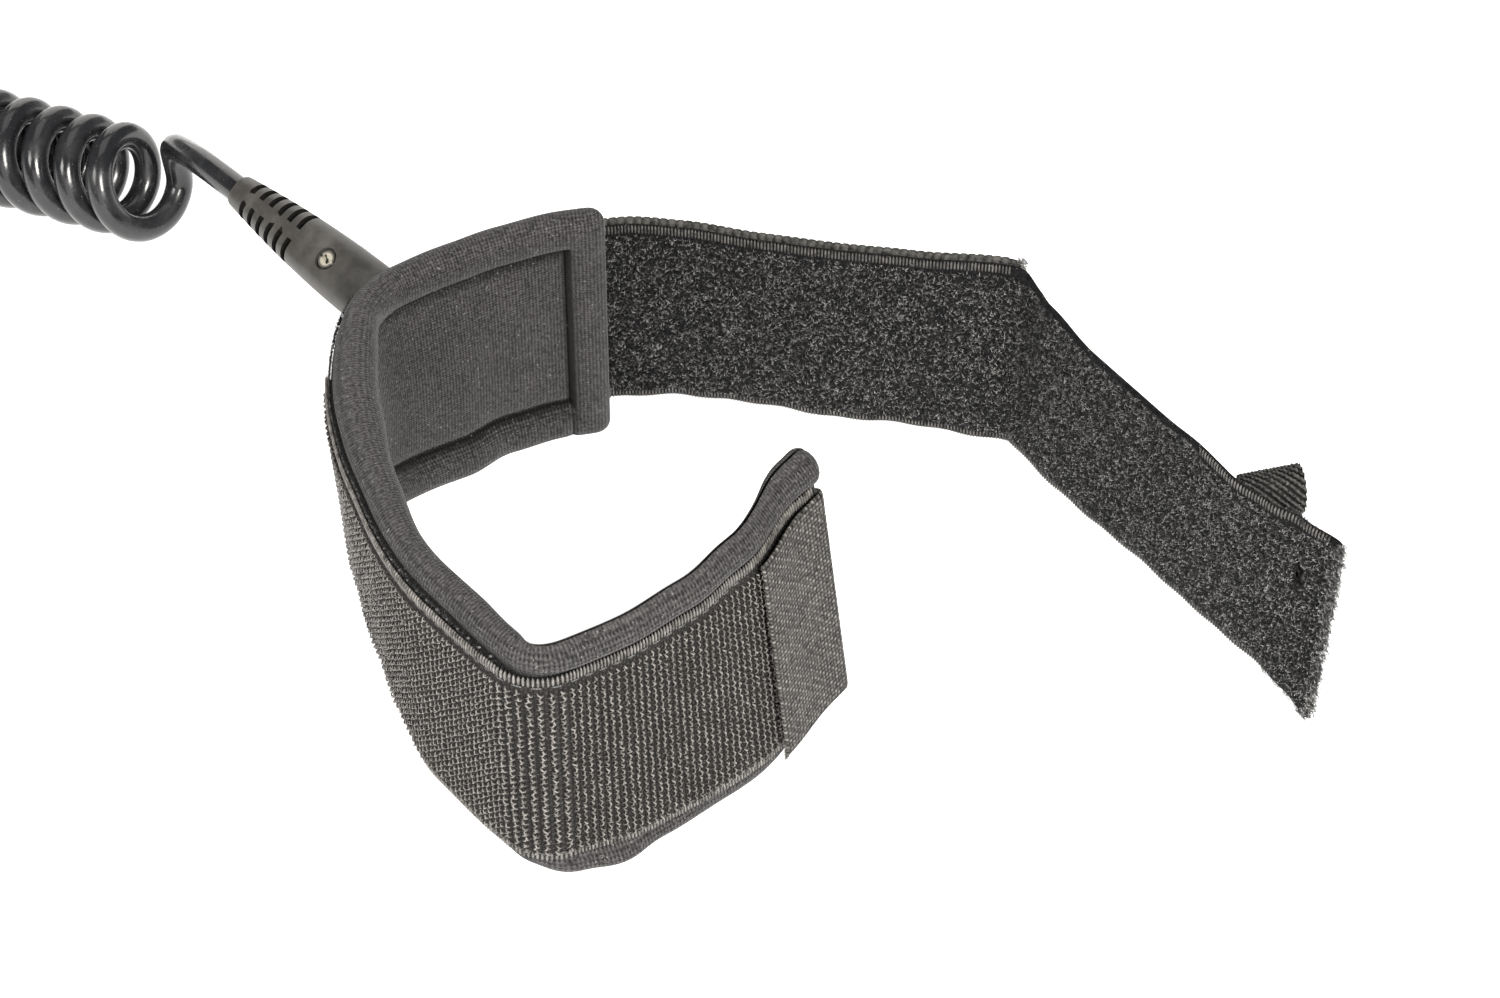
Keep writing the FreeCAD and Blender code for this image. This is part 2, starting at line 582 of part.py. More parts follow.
def cord_end(prefix, frame):
    """Horn, screw, nut and crimp sleeve of one cord end."""
    made = [add(prefix + "_horn", horn_body(), frame)]
    station = size("screw_station")
    head = bound("Part::Cylinder", prefix + "_screw", "head",
                 Radius="sizes.screw_head / 2", Height="sizes.head_high")
    shank = bound("Part::Cylinder", prefix + "_screw", "shank",
                  Radius="sizes.screw_shank / 2",
                  Height="sizes.horn_deep * %g - sizes.recess_deep - sizes.fit_gap" % HORN_SWELL[-1][2])
    driver = bound("Part::Box", prefix + "_screw", "driver",
                   Length="sizes.screw_head", Width="sizes.driver_wide", Height="sizes.driver_deep")
    shank_length = 2 * face_height() - size("recess_deep") - size("fit_gap")
    seat = head_floor() + size("fit_gap") / 2
    frame_at(head, frame, Vector(station, 0, seat))
    frame_at(shank, frame, Vector(station, 0, seat - shank_length))
    frame_at(driver, frame, Vector(station - size("screw_head") / 2, -size("driver_wide") / 2,
                                   seat + size("head_high") - size("driver_deep")))
    solid = combined("Part::Fuse", prefix + "_screw_blank", head, shank)
    screw = combined("Part::Cut", prefix + "_screw_cut", solid, driver)
    screw.Label = prefix + "_screw"
    made.append(screw)
    barrel = bound("Part::Cylinder", prefix + "_nut", "barrel",
                   Radius="sizes.nut_wide / 2", Height="sizes.nut_long")
    thread = bound("Part::Cylinder", prefix + "_nut", "thread",
                   Radius="sizes.screw_shank / 2 + sizes.thread_gap", Height="sizes.nut_long * 3")
    frame_at(barrel, frame, Vector(station, 0, nut_top() - size("nut_long")))
    frame_at(thread, frame, Vector(station, 0, nut_top() - 2 * size("nut_long")))
    nut = combined("Part::Cut", prefix + "_nut_cut", barrel, thread)
    nut.Label = prefix + "_nut"
    made.append(nut)
    sleeve = bound("Part::Cylinder", prefix + "_crimp", "sleeve",
                   Radius="sizes.crimp_wide / 2", Height="sizes.crimp_long")
    room = bound("Part::Cylinder", prefix + "_crimp", "room",
                 Radius="sizes.cord_wide / 2 + sizes.bore_gap", Height="sizes.crimp_long * 3")
    turn = FreeCAD.Placement(Vector(0, 0, 0), FreeCAD.Rotation(Vector(0, 1, 0), 90))
    sleeve_frame = frame.multiply(FreeCAD.Placement(Vector(size("crimp_station"), 0, 0), FreeCAD.Rotation()))
    sleeve.Placement = sleeve_frame.multiply(turn)
    room_frame = frame.multiply(FreeCAD.Placement(
        Vector(size("crimp_station") - size("crimp_long"), 0, 0), FreeCAD.Rotation()))
    room.Placement = room_frame.multiply(turn)
    crimp = combined("Part::Cut", prefix + "_crimp_cut", sleeve, room)
    crimp.Label = prefix + "_crimp"
    made.append(crimp)
    return made


def tongue(reach):
    """Two layers of webbing in the horn's mouth, with the screw hole."""
    start = size("horn_length") - size("tongue_depth")
    plate = Part.makeBox(size("tongue_depth") + reach, size("tongue_width"), size("tongue_thick"),
                         Vector(start, -size("tongue_width") / 2, -size("tongue_thick") / 2))
    hole = Part.makeCylinder(size("screw_shank") / 2 + size("fit_gap"), 9,
                             Vector(size("screw_station"), 0, -4.5))
    return plate.cut(hole)


# Near cord end: level, rolled towards the front, aimed at the anchor on the back panel.
HORN_HEADING = -47.6
ANCHOR_OUT = BASE_OUT - GAP - size("anchor_thick")
NECK_ROOT = PAD.point(size("anchor_station"), ANCHOR_OUT, size("horn_level"))
AIM = level(HORN_HEADING)
SWING = NECK_ROOT - AIM * (size("neck_length") + size("anchor_width") / 2 + size("swing_gap"))
HORN_MOUTH = SWING - AIM * size("horn_gap")
HORN_START = HORN_MOUTH - AIM * size("horn_length")
NEAR = FreeCAD.Placement(HORN_START, FreeCAD.Rotation(UP, HORN_HEADING)).multiply(
    FreeCAD.Placement(Vector(0, 0, 0), FreeCAD.Rotation(Vector(1, 0, 0), size("horn_roll"))))
PARTS += cord_end("near", NEAR)


def webbing_anchor():
    """Webbing spread on the back panel, with a round-tipped neck that sticks out level."""
    station = size("anchor_station")
    half = size("anchor_width") / 2
    level = size("horn_level")
    flange = band(PAD, station - half, station + half, BASE_OUT - GAP, ANCHOR_OUT,
                  level - size("anchor_flange"), level + size("anchor_flange"))
    thick = size("neck_thick")
    plate = Part.makeBox(size("neck_length") + 4, 2 * half, thick,
                         Vector(-4, -half, level - thick / 2))
    plate = plate.fuse(Part.makeCylinder(half, thick, Vector(size("neck_length"), 0, level - thick / 2)))
    plate.rotate(Vector(0, 0, 0), UP, HORN_HEADING + 180)
    plate.translate(Vector(NECK_ROOT.x, NECK_ROOT.y, 0))
    inside = band(PAD, station - 3 * half, station + 3 * half, 9, BASE_OUT - GAP, 0, TALL)
    return flange.fuse(plate.cut(inside)).removeSplitter()


PARTS.append(add("anchor_webbing", webbing_anchor()))
ANCHOR_ROWS = [size("horn_level") + side * (size("anchor_flange") - 2) for side in (-1, 1)]
PARTS.append(add("anchor_stitches", stitches(PAD, size("anchor_station") - size("anchor_width") / 2 + 1,
                                             size("anchor_station") + size("anchor_width") / 2 + 1,
                                             ANCHOR_OUT - STITCH_GAP, -1, ANCHOR_ROWS)))
NEAR_TONGUE = tongue(size("horn_gap") - size("swing_gap") - size("tongue_width") / 2)
NEAR_TIP = Part.makeCylinder(size("tongue_width") / 2, size("tongue_thick"),
                             Vector(size("horn_length") + size("horn_gap") - size("swing_gap")
                                    - size("tongue_width") / 2, 0, -size("tongue_thick") / 2))
PARTS.append(add("near_tongue", NEAR_TONGUE.fuse(NEAR_TIP).removeSplitter(), NEAR))


# Cord. The route's points are chosen by hand: out of the horn, down to the coil,
# which the cord enters on its far side, going down.
CORD = size("cord_wide") / 2
TAIL_ROUTE = [
    HORN_START + AIM * (size("crimp_station") + size("crimp_long") - size("fit_gap")),
    HORN_START - AIM * 9, Vector(-123.6, 100.9, 24.8)]
TAIL_LEAVES = Vector(-125.3, 104.3, 23.6)

# The coil's axis, and its loops, which lean back along it as a coil on the ground does.
COIL_AXIS = level(159)
LOOP_NEAR = level(238.5)
COIL_LEAN = math.radians(size("coil_lean"))
LOOP_UP = level(148.5) * math.sin(COIL_LEAN) + UP * math.cos(COIL_LEAN)
COIL_FIRST = 270
COIL_LAST = COIL_FIRST - 360 * size("coil_turns")
COIL_START = Vector(-132.45, 103.6, CORD + 0.1 + size("coil_radius") * math.cos(COIL_LEAN))


def coil_point(angle):
    """Point of the coil's centre line. The angle falls along the cord."""
    turned = (COIL_FIRST - angle) / 360
    round_part = LOOP_UP * math.cos(math.radians(angle)) + LOOP_NEAR * math.sin(math.radians(angle))
    return COIL_START + COIL_AXIS * (size("coil_pitch") * turned) + round_part * size("coil_radius")


def coil_direction(angle):
    """Unit vector along the cord at an angle of the coil."""
    way = coil_point(angle - 0.01) - coil_point(angle + 0.01)
    way.normalize()
    return way


def arc_from(start, direction, finish):
    """Arc that leaves a point in a direction and ends at another point."""
    chord = finish - start
    length = chord.Length
    chord.normalize()
    angle = direction.getAngle(chord)
    bulge = direction - chord * direction.dot(chord)
    if bulge.Length < 1e-9:
        return line(start, finish)
    bulge.normalize()
    middle = (start + finish) * 0.5 + bulge * (length / 2 * math.tan(angle / 2))
    return Part.Arc(start, middle, finish).toShape()


def biarc(start, leave, finish, arrive):
    """Two arcs that join two points smoothly, with given directions at both."""
    gap = finish - start
    total = leave + arrive
    spread = 2 * (1 - leave.dot(arrive))
    along = gap.dot(total)
    reach = (-along + math.sqrt(along * along + spread * gap.dot(gap))) / spread
    joint = (start + finish + (leave - arrive) * reach) * 0.5
    second = arc_from(finish, arrive * -1, joint)
    return [arc_from(start, leave, joint), second]


def rounded_route(points):
    """Straight runs joined by tangent arcs, each as large as its two runs allow."""
    edges = []
    here = points[0]
    for before, corner, after in zip(points, points[1:], points[2:]):
        arrive = (corner - before)
        leave = (after - corner)
        shorter = min(arrive.Length, leave.Length)
        arrive.normalize()
        leave.normalize()
        half_turn = arrive.getAngle(leave) / 2
        radius = 0.45 * shorter / math.tan(half_turn)
        start = corner - arrive * (0.45 * shorter)
        finish = corner + leave * (0.45 * shorter)
        inward = leave - arrive
        inward.normalize()
        middle = corner + inward * (radius / math.cos(half_turn) - radius)
        edges.append(line(here, start))
        edges.append(Part.Arc(start, middle, finish).toShape())
        print("cord arc radius %.1f mm" % radius)
        here = finish
    edges.append(line(here, points[-1]))
    return edges


def tube(edges):
    """Round tube along a path."""
    first = edges[0]
    start = first.valueAt(first.FirstParameter)
    direction = first.tangentAt(first.FirstParameter)
    ring = Part.Wire(Part.Circle(start, direction, CORD).toShape())
    solid = Part.Wire(edges).makePipeShell([ring], True, False)
    length = sum(edge.Length for edge in edges)
    print("tube %.1f mm long, volume ratio %.4f" % (length, solid.Volume / (math.pi * CORD ** 2 * length)))
    return solid


FAR_HEADING = 180
TAIL_EDGES = rounded_route(TAIL_ROUTE + [TAIL_LEAVES])
PARTS.append(add("near_cord_tail", tube(TAIL_EDGES)))

# The coil starts and ends with a straight stretch one cord wide.
IN_WAY = TAIL_LEAVES - TAIL_ROUTE[-1]
IN_WAY.normalize()
BEND_START = TAIL_LEAVES + IN_WAY * size("cord_wide")
COIL_EDGES = [line(TAIL_LEAVES, BEND_START)]
COIL_EDGES += biarc(BEND_START, IN_WAY, coil_point(COIL_FIRST), coil_direction(COIL_FIRST))
angle = COIL_FIRST
while angle > COIL_LAST + 1:
    COIL_EDGES += biarc(coil_point(angle), coil_direction(angle),
                        coil_point(angle - 90), coil_direction(angle - 90))
    angle -= 90
OUT_WAY = level(FAR_HEADING)
FAR_LEAVES = Vector(-281.6, 141.6, size("horn_deep") / 2 + 0.3)
BEND_END = FAR_LEAVES - OUT_WAY * size("cord_wide")
COIL_EDGES += biarc(coil_point(COIL_LAST), coil_direction(COIL_LAST), BEND_END, OUT_WAY)
COIL_EDGES.append(line(BEND_END, FAR_LEAVES))
COIL = tube(COIL_EDGES)
PARTS.append(add("cord_coil", COIL))


def least_gap():
    """Least gap between the coil's turns, measured on points of its centre line."""
    points = []
    for edge in COIL_EDGES:
        points += edge.discretize(12)[:-1]
    least = 1e9
    skip = 40
    for number, point in enumerate(points):
        for other in points[number + skip:number + skip + 220]:
            least = min(least, point.distanceToPoint(other))
    return least - size("cord_wide")


print("least gap between turns %.2f mm" % least_gap())

# Far cord end, out of the picture: the same horn on a webbing loop, flat on the ground.
FAR_TAIL = 20
FAR_START = FAR_LEAVES + OUT_WAY * FAR_TAIL
FAR = FreeCAD.Placement(FAR_START, FreeCAD.Rotation(UP, FAR_HEADING))
PARTS.append(add("far_cord_tail", tube([line(
    FAR_LEAVES, FAR_START + OUT_WAY * (size("crimp_station") + size("crimp_long") - size("fit_gap")))])))
PARTS += cord_end("far", FAR)


def webbing_loop():
    """Webbing that leaves the mouth in two layers and parts into a long eye."""
    neck = size("eye_neck")
    start = size("horn_length") + neck
    width = size("tongue_width")
    outer = size("eye_height") / 2
    inner = outer - size("eye_thick")
    side = Vector(0, 1, 0)
    across = Vector(0, -width / 2, 0)
    length = size("eye_length")
    shape = tongue(neck + 2)
    solid = []
    for radius in (outer, inner):
        near = Vector(start + outer + 1, 0, 0)
        far = Vector(start + length - outer, 0, 0)
        stadium = Part.makeCylinder(radius, width, near + across, side)
        stadium = stadium.fuse(Part.makeCylinder(radius, width, far + across, side))
        stadium = stadium.fuse(Part.makeBox(far.x - near.x, width, 2 * radius,
                                            Vector(near.x, -width / 2, -radius)))
        solid.append(stadium)
    return shape.fuse(solid[0]).cut(solid[1]).removeSplitter()


PARTS.append(add("far_webbing_loop", webbing_loop(), FAR))


def cross_stitches():
    """Two rows of stitches across the neck of the webbing loop."""
    long = size("stitch_length")
    thick = size("stitch_thick")
    made = []
    for station in (size("eye_neck") / 3, size("eye_neck") * 2 / 3):
        for across in (-1, 0, 1):
            made.append(Part.makeBox(thick, long, thick, Vector(
                size("horn_length") + station, across * (long + 0.8) - long / 2,
                size("tongue_thick") / 2)))
    return Part.makeCompound(made)


PARTS.append(add("far_loop_stitches", cross_stitches(), FAR))

DOC.recompute()

for item in DOC.Objects:
    if "Invalid" in item.State or "Error" in item.State:
        raise RuntimeError("failed object " + item.Label)
for part in PARTS:
    if part.Shape.isNull() or not part.Shape.isValid():
        raise RuntimeError("bad shape " + part.Label)

os.makedirs("parts", exist_ok=True)
for part in PARTS:
    part.Shape.exportStep(os.path.join("parts", part.Label + ".step"))
    box = part.Shape.BoundBox
    print("%-22s %2d solids %9.1f mm3  x %.1f %.1f  y %.1f %.1f  z %.1f %.1f" % (
        part.Label, len(part.Shape.Solids), part.Shape.Volume,
        box.XMin, box.XMax, box.YMin, box.YMax, box.ZMin, box.ZMax))
for name, place in (("flap fold", FLAP_AXIS), ("tab fold", TAB_AXIS), ("tab up", TAB_UP),
                    ("strap root", ROOT_AXIS), ("strap crease", CREASE_AXIS), ("pull hinge", PULL_HINGE),
                    ("pull along", STRAP.ahead(PULL_STATION)), ("horn swing", SWING),
                    ("horn start", HORN_START)):
    print("%-12s %.3f %.3f %.3f" % (name, place.x, place.y, place.z))
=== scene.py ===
"""Padded wrist cuff with its closing strap and coiled cord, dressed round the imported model."""
from math import copysign, cos, pi, radians, sin

import bmesh
import bpy
import numpy as np
from mathutils import Matrix, Vector


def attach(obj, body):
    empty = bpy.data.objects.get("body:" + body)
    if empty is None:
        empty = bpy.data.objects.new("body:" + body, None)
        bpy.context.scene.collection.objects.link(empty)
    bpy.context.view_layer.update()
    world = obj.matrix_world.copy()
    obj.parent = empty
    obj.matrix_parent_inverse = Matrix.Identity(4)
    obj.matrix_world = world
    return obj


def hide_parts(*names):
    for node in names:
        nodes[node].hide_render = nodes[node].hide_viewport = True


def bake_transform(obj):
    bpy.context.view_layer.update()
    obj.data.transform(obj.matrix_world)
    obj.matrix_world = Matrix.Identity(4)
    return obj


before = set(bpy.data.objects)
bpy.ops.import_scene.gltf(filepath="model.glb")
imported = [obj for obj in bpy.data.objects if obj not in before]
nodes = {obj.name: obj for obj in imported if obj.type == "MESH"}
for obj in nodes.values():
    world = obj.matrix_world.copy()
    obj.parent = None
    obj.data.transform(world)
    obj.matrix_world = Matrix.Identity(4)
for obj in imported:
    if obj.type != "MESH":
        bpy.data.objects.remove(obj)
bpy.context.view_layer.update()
scene = bpy.context.scene
MM = 0.001
UP = Vector((0, 0, 1))


def in_scene(name, data):
    """New object in the scene."""
    item = bpy.data.objects.new(name, data)
    scene.collection.objects.link(item)
    return item


# Camera. The picture looks down at 45 degrees through a long lens, with the
# closing strap running to the right and the cord leaving at the upper left.
PICTURE_CENTRE = Vector((-0.8, -11.1, 30)) * MM
CAMERA_DISTANCE = 0.818
camera_data = bpy.data.cameras.new("camera")
camera_data.lens = 99.6
camera_data.sensor_width = 36
camera = in_scene("camera", camera_data)
camera.location = PICTURE_CENTRE + Vector((0, -1, 1)).normalized() * CAMERA_DISTANCE
camera.rotation_euler = (radians(45), 0, 0)
scene.camera = camera


# Floor and light. A pale sheet that glows a little, as over a light table, and
# two soft boxes: the two short highlights on each turn of the cord are theirs.
def level(heading):
    """Horizontal unit vector with a heading in degrees from X."""
    return Vector((cos(radians(heading)), sin(radians(heading)), 0))


def soft_box(name, heading, elevation, distance, side, power):
    """Square studio light that faces the object."""
    lamp = bpy.data.lights.new(name, "AREA")
    lamp.size = side
    lamp.energy = power
    lamp.color = (1, 0.97, 0.93)
    item = in_scene(name, lamp)
    away = level(heading) * cos(radians(elevation)) + UP * sin(radians(elevation))
    item.location = PICTURE_CENTRE + away * distance
    item.rotation_euler = away.to_track_quat("Z", "Y").to_euler()


soft_box("left_soft_box", -146, 40, 1.2, 0.42, 6.4)
soft_box("right_soft_box", -64, 41, 1.2, 0.42, 21.5)
soft_box("top_soft_box", 100, 72, 1.3, 0.9, 3)
soft_box("front_soft_box", -95, 14, 1.3, 1, 5)
soft_box("back_soft_box", 95, 22, 1.4, 1, 6)

world = bpy.data.worlds.new("studio")
world.use_nodes = True
world.node_tree.nodes["Background"].inputs["Color"].default_value = (0.9, 0.92, 0.95, 1)
world.node_tree.nodes["Background"].inputs["Strength"].default_value = 0.18
scene.world = world
scene.view_settings.view_transform = "Standard"

floor_mesh = bpy.data.meshes.new("floor")
sheet = bmesh.new()
bmesh.ops.create_grid(sheet, x_segments=1, y_segments=1, size=3)
bmesh.ops.translate(sheet, vec=(0, 0, -0.0002), verts=sheet.verts)
sheet.to_mesh(floor_mesh)
sheet.free()
floor = in_scene("floor", floor_mesh)
paper = bpy.data.materials.new("paper")
paper.use_nodes = True
for label, value in (("Base Color", (0.86, 0.86, 0.86, 1)), ("Roughness", 0.9),
                     ("Emission Color", (1, 1, 1, 1)), ("Emission Strength", 0.8)):
    paper.node_tree.nodes["Principled BSDF"].inputs[label].default_value = value
floor.data.materials.append(paper)


# Cord. One length of 6 mm cord in a glossy plastic sheath. Out of the near cord
# end it bends down into the coil, and past the coil it runs to the far cord end.
CORD_WIDE = 6 * MM
CORD_HELD = 27.7
FAR_START = Vector((-301.6, 141.6, 4.8))
HORN_START = Vector((-108.775, 81.053, 30))
HORN_HEADING = -47.6
AIM = level(HORN_HEADING)
COIL_AXIS = level(159)
LOOP_NEAR = level(238.5)
COIL_LEAN = radians(20.4)
LOOP_UP = level(148.5) * sin(COIL_LEAN) + UP * cos(COIL_LEAN)
COIL_START = Vector((-132.45, 103.6, 12.285))
COIL_RADIUS = 9.8
COIL_PITCH = 7.9
COIL_TURNS = 17.25
POINTS_A_TURN = 16
# A spline of this order runs inside its points by this share of the radius.
INSIDE = 0.75 + 0.25 * cos(2 * pi / POINTS_A_TURN)


def coil_point(turned):
    """Point of the coil after a number of turns, from its lowest, farther side on."""
    angle = radians(270 - 360 * turned)
    round_part = LOOP_UP * cos(angle) + LOOP_NEAR * sin(angle)
    return COIL_START + COIL_AXIS * (COIL_PITCH * turned) + round_part * (COIL_RADIUS / INSIDE)


cord_route = [HORN_START + AIM * CORD_HELD, HORN_START - AIM * 9,
              (-123.6, 100.9, 24.8), (-126.6, 106.4, 21.6), (-127.6, 109.4, 17.6)]
cord_route += [coil_point(number / POINTS_A_TURN) for number in range(1, int(COIL_TURNS * POINTS_A_TURN) + 1)]
cord_route += [(-268, 140.4, 4.6), (-276, 141.6, 4.8), FAR_START, FAR_START - Vector((CORD_HELD, 0, 0))]

cord_curve = bpy.data.curves.new("cord", "CURVE")
cord_curve.dimensions = "3D"
cord_line = cord_curve.splines.new("NURBS")
cord_line.points.add(len(cord_route) - 1)
for point, place in zip(cord_line.points, cord_route):
    point.co = (*(Vector(place) * MM), 1)
    point.radius = CORD_WIDE / 2
cord_line.order_u = 3
cord_line.use_endpoint_u = True
cord_curve.resolution_u = 4
cord_curve.bevel_depth = 1
cord_curve.bevel_resolution = 6
cord_curve.use_fill_caps = True
cord = in_scene("cord", cord_curve)
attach(cord, "cord")
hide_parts("near_cord_tail", "cord_coil", "far_cord_tail")


# Sheath. Solid black plastic, glossy, dulled in patches by handling and with a few
# fine specks of dust.
def operator(operation, swapped=False):
    """Method that makes a Math node of a value and another term."""
    return lambda value, other: calculate(operation, *((other, value) if swapped else (value, other)))


class Value:
    """An output in a node tree. Arithmetic on it adds Math nodes."""

    def __init__(self, socket):
        self.socket = socket
        self.tree = socket.id_data

    def __abs__(self):
        return calculate("ABSOLUTE", self)

    __add__ = operator("ADD")
    __sub__ = operator("SUBTRACT")
    __rsub__ = operator("SUBTRACT", True)
    __mul__ = operator("MULTIPLY")
    __truediv__ = operator("DIVIDE")
    __rtruediv__ = operator("DIVIDE", True)


def joined(source, target):
    """Join a value to an input, or give the input a plain one."""
    if isinstance(source, Value):
        source.tree.links.new(source.socket, target)
    else:
        target.default_value = source


def calculate(operation, *terms):
    """Math node."""
    tree = next(term.tree for term in terms if isinstance(term, Value))
    node = tree.nodes.new("ShaderNodeMath")
    node.operation = operation
    for term, socket in zip(terms, node.inputs):
        joined(term, socket)
    return Value(node.outputs[0])


def noise(place, size, detail=2.0, roughness=0.5):
    """Noise whose grains are about as wide as size, in metres."""
    node = place.tree.nodes.new("ShaderNodeTexNoise")
    for label, value in (("Vector", place), ("Scale", 0.6 / size), ("Detail", detail),
                         ("Roughness", roughness)):
        joined(value, node.inputs[label])
    return Value(node.outputs["Fac"])


def spread(value, low, high, new_low=0.0, new_high=1.0):
    """Map Range node."""
    node = value.tree.nodes.new("ShaderNodeMapRange")
    for label, number in (("Value", value), ("From Min", low), ("From Max", high),
                          ("To Min", new_low), ("To Max", new_high)):
        joined(number, node.inputs[label])
    return Value(node.outputs["Result"])


def blended(share, first, second):
    """Mix of two colours, each a value or its red, green and blue."""
    node = share.tree.nodes.new("ShaderNodeMix")
    node.data_type = "RGBA"
    joined(share, node.inputs["Factor"])
    for label, colour in (("A", first), ("B", second)):
        joined(colour if isinstance(colour, Value) else (*colour, 1), node.inputs[label])
    return Value(node.outputs["Result"])


def grey(tone):
    """Red, green and blue of a plain grey."""
    return tone, tone, tone


def effect(name, outputs, **inputs):
    """Empty node group at a place, with its inputs as values and its outputs."""
    tree = bpy.data.node_groups.new(name, "ShaderNodeTree")
    tree.interface.new_socket("Place", in_out="INPUT", socket_type="NodeSocketVector")
    for label, value in inputs.items():
        socket = tree.interface.new_socket(label, in_out="INPUT", socket_type="NodeSocketFloat")
        socket.default_value = value
    for label in outputs:
        tree.interface.new_socket(label, in_out="OUTPUT", socket_type="NodeSocketFloat")
    given = tree.nodes.new("NodeGroupInput").outputs
    return [Value(given[label]) for label in ("Place", *inputs)], tree.nodes.new("NodeGroupOutput").inputs


def placed(group, place, **values):
    """Outputs of a node group at a place, with its other inputs set."""
    node = place.tree.nodes.new("ShaderNodeGroup")
    node.node_tree = bpy.data.node_groups[group]
    for label, value in {"Place": place, **values}.items():
        joined(value, node.inputs[label])
    return {socket.name: Value(socket) for socket in node.outputs}


def finish_of(name, roughness, metallic=0.0, specular=0.5, sheen=0.0, coat=0.0):
    """New material, its shader's inputs with their even values, and its object coordinates in metres."""
    material = bpy.data.materials.new(name)
    material.use_nodes = True
    shader = material.node_tree.nodes["Principled BSDF"].inputs
    for label, value in (("Roughness", roughness), ("Metallic", metallic), ("Specular IOR Level", specular),
                         ("Sheen Weight", sheen), ("Sheen Roughness", 0.4), ("Coat Weight", coat),
                         ("Coat Roughness", 0.08)):
        shader[label].default_value = value
    return material, shader, Value(material.node_tree.nodes.new("ShaderNodeTexCoord").outputs["Object"])


def raised(shader, height, depth, strength=1.0):
    """Bump of a height from 0 to 1 that stands for a depth in metres."""
    node = height.tree.nodes.new("ShaderNodeBump")
    for label, value in (("Distance", depth), ("Strength", strength), ("Height", height)):
        joined(value, node.inputs[label])
    joined(Value(node.outputs["Normal"]), shader["Normal"])


(place, speck, share), result = effect("dust", ["Specks", "Smudges"], Speck=0.0003, Share=0.3)
limit = 0.78 - share * 0.2
joined(spread(noise(place, speck, 1), limit, limit + 0.04), result["Specks"])
joined(spread(noise(place, 0.004, 5, 0.65), 0.42, 0.68), result["Smudges"])


def handled(marks, shader, colour, fleck, fleck_share, dulled):
    """Colour with specks of dust on it, and roughness that grows with the smudges."""
    joined(blended(marks["Specks"] * fleck_share, colour, fleck), shader["Base Color"])
    joined(spread(marks["Smudges"], 0, 1, *dulled), shader["Roughness"])


sheath, shader, place = finish_of("cord_sheath", 0.16, specular=0.45, coat=0.3)
marks = placed("dust", place, Speck=0.00035, Share=0.25)
colour = blended(marks["Smudges"] * 0.35, (0.012, 0.0125, 0.014), (0.045, 0.046, 0.048))
handled(marks, shader, colour, grey(0.2), 0.5, (0.19, 0.4))
cord.data.materials.append(sheath)


# Cord ends. Each is a moulded strain relief in satin grey-black plastic with two
# rows of slots, a plated screw in a recess, a nut and a crimp sleeve inside.
def mottled(name, roughness, size, dark, light, detail=2, grain=0.5, low=0.0, high=1.0, **even):
    """Finish in patches between two colours."""
    material, shader, place = finish_of(name, roughness, **even)
    joined(blended(spread(noise(place, size, detail, grain), low, high), dark, light), shader["Base Color"])
    return material


horn_plastic, shader, place = finish_of("horn_plastic", 0.42, specular=0.45)
marks = placed("dust", place, Speck=0.0003, Share=0.2)
colour = blended(marks["Smudges"], (0.048, 0.0455, 0.042), (0.09, 0.086, 0.079))
handled(marks, shader, colour, grey(0.16), 0.35, (0.36, 0.5))
raised(shader, noise(place, 0.00025), 0.00002, 0.5)
# Painted shade for the insides of the horns' slots: a near-black finish.
horn_slot_shade = mottled("horn_slot_shade", 0.8, 0.0006, grey(0.004), (0.016, 0.015, 0.014), specular=0.1)
crimp_metal = mottled("crimp_metal", 0.4, 0.0006, grey(0.4), grey(0.6), metallic=1.0)
SCREW_HEAD = 2.2
HORN_UP = (-0.4, -0.37, 0.84)


def screw_finish(name, centre, axis, slot_side):
    """Plated metal, worn bright in the middle, with painted shade in its slot and a dull outer ring that also
    paints the shade of the groove round the head.
    """
    material, shader, place = finish_of(name, 0.38, metallic=0.6)
    marks = placed("dust", place, Speck=0.0004, Share=0.3)

    def along(way):
        node = place.tree.nodes.new("ShaderNodeVectorMath")
        node.operation = "DOT_PRODUCT"
        joined(place, node.inputs[0])
        joined(way, node.inputs[1])
        return Value(node.outputs["Value"]) - Vector(way).dot(Vector(centre) * MM)

    side = along(slot_side)
    other = along(Vector(axis).cross(Vector(slot_side)).normalized())
    reach = calculate("SQRT", side * side + other * other)
    worn = blended(marks["Smudges"], (0.95, 0.92, 0.82), (0.62, 0.57, 0.44))
    # The slot is painted dark as shade. The dull ring past the worn middle is partly the metal's dull edge
    # and partly painted shade of the groove round the head.
    dull_ring_and_groove_shade = spread(reach, SCREW_HEAD * 0.62 * MM, SCREW_HEAD * 0.72 * MM)
    painted_slot_shade = spread(abs(side), 0.22 * MM, 0.3 * MM, 1, 0) * spread(reach, 1.0 * MM, 1.3 * MM, 1, 0)
    colour = blended(painted_slot_shade, blended(dull_ring_and_groove_shade, worn, (0.2, 0.19, 0.17)), (0.03, 0.028, 0.025))
    joined(colour, shader["Base Color"])
    joined(spread(marks["Smudges"], 0, 1, 0.3, 0.5), shader["Roughness"])
    raised(shader, noise(place, 0.0003, 3), 0.00006, 0.7)
    return material


screw_metals = {
    "near": screw_finish("near_screw_metal", (-88.91, 55.86, 33.57), HORN_UP, (0.91, 0, 0.42)),
    "far": screw_finish("far_screw_metal", (-333.6, 141.6, 9.06), UP, (0.3, 0.95, 0))}


def refinish(node, material):
    """Give a kept piece of the model its real finish."""
    nodes[node].data.materials.clear()
    nodes[node].data.materials.append(material)


SLOT_FIRST = 5.2
SLOT_PITCH = 3.2
SLOT_WIDE = 0.9
SLOT_MOUTH = 1.45
LAST_SLOT = 5


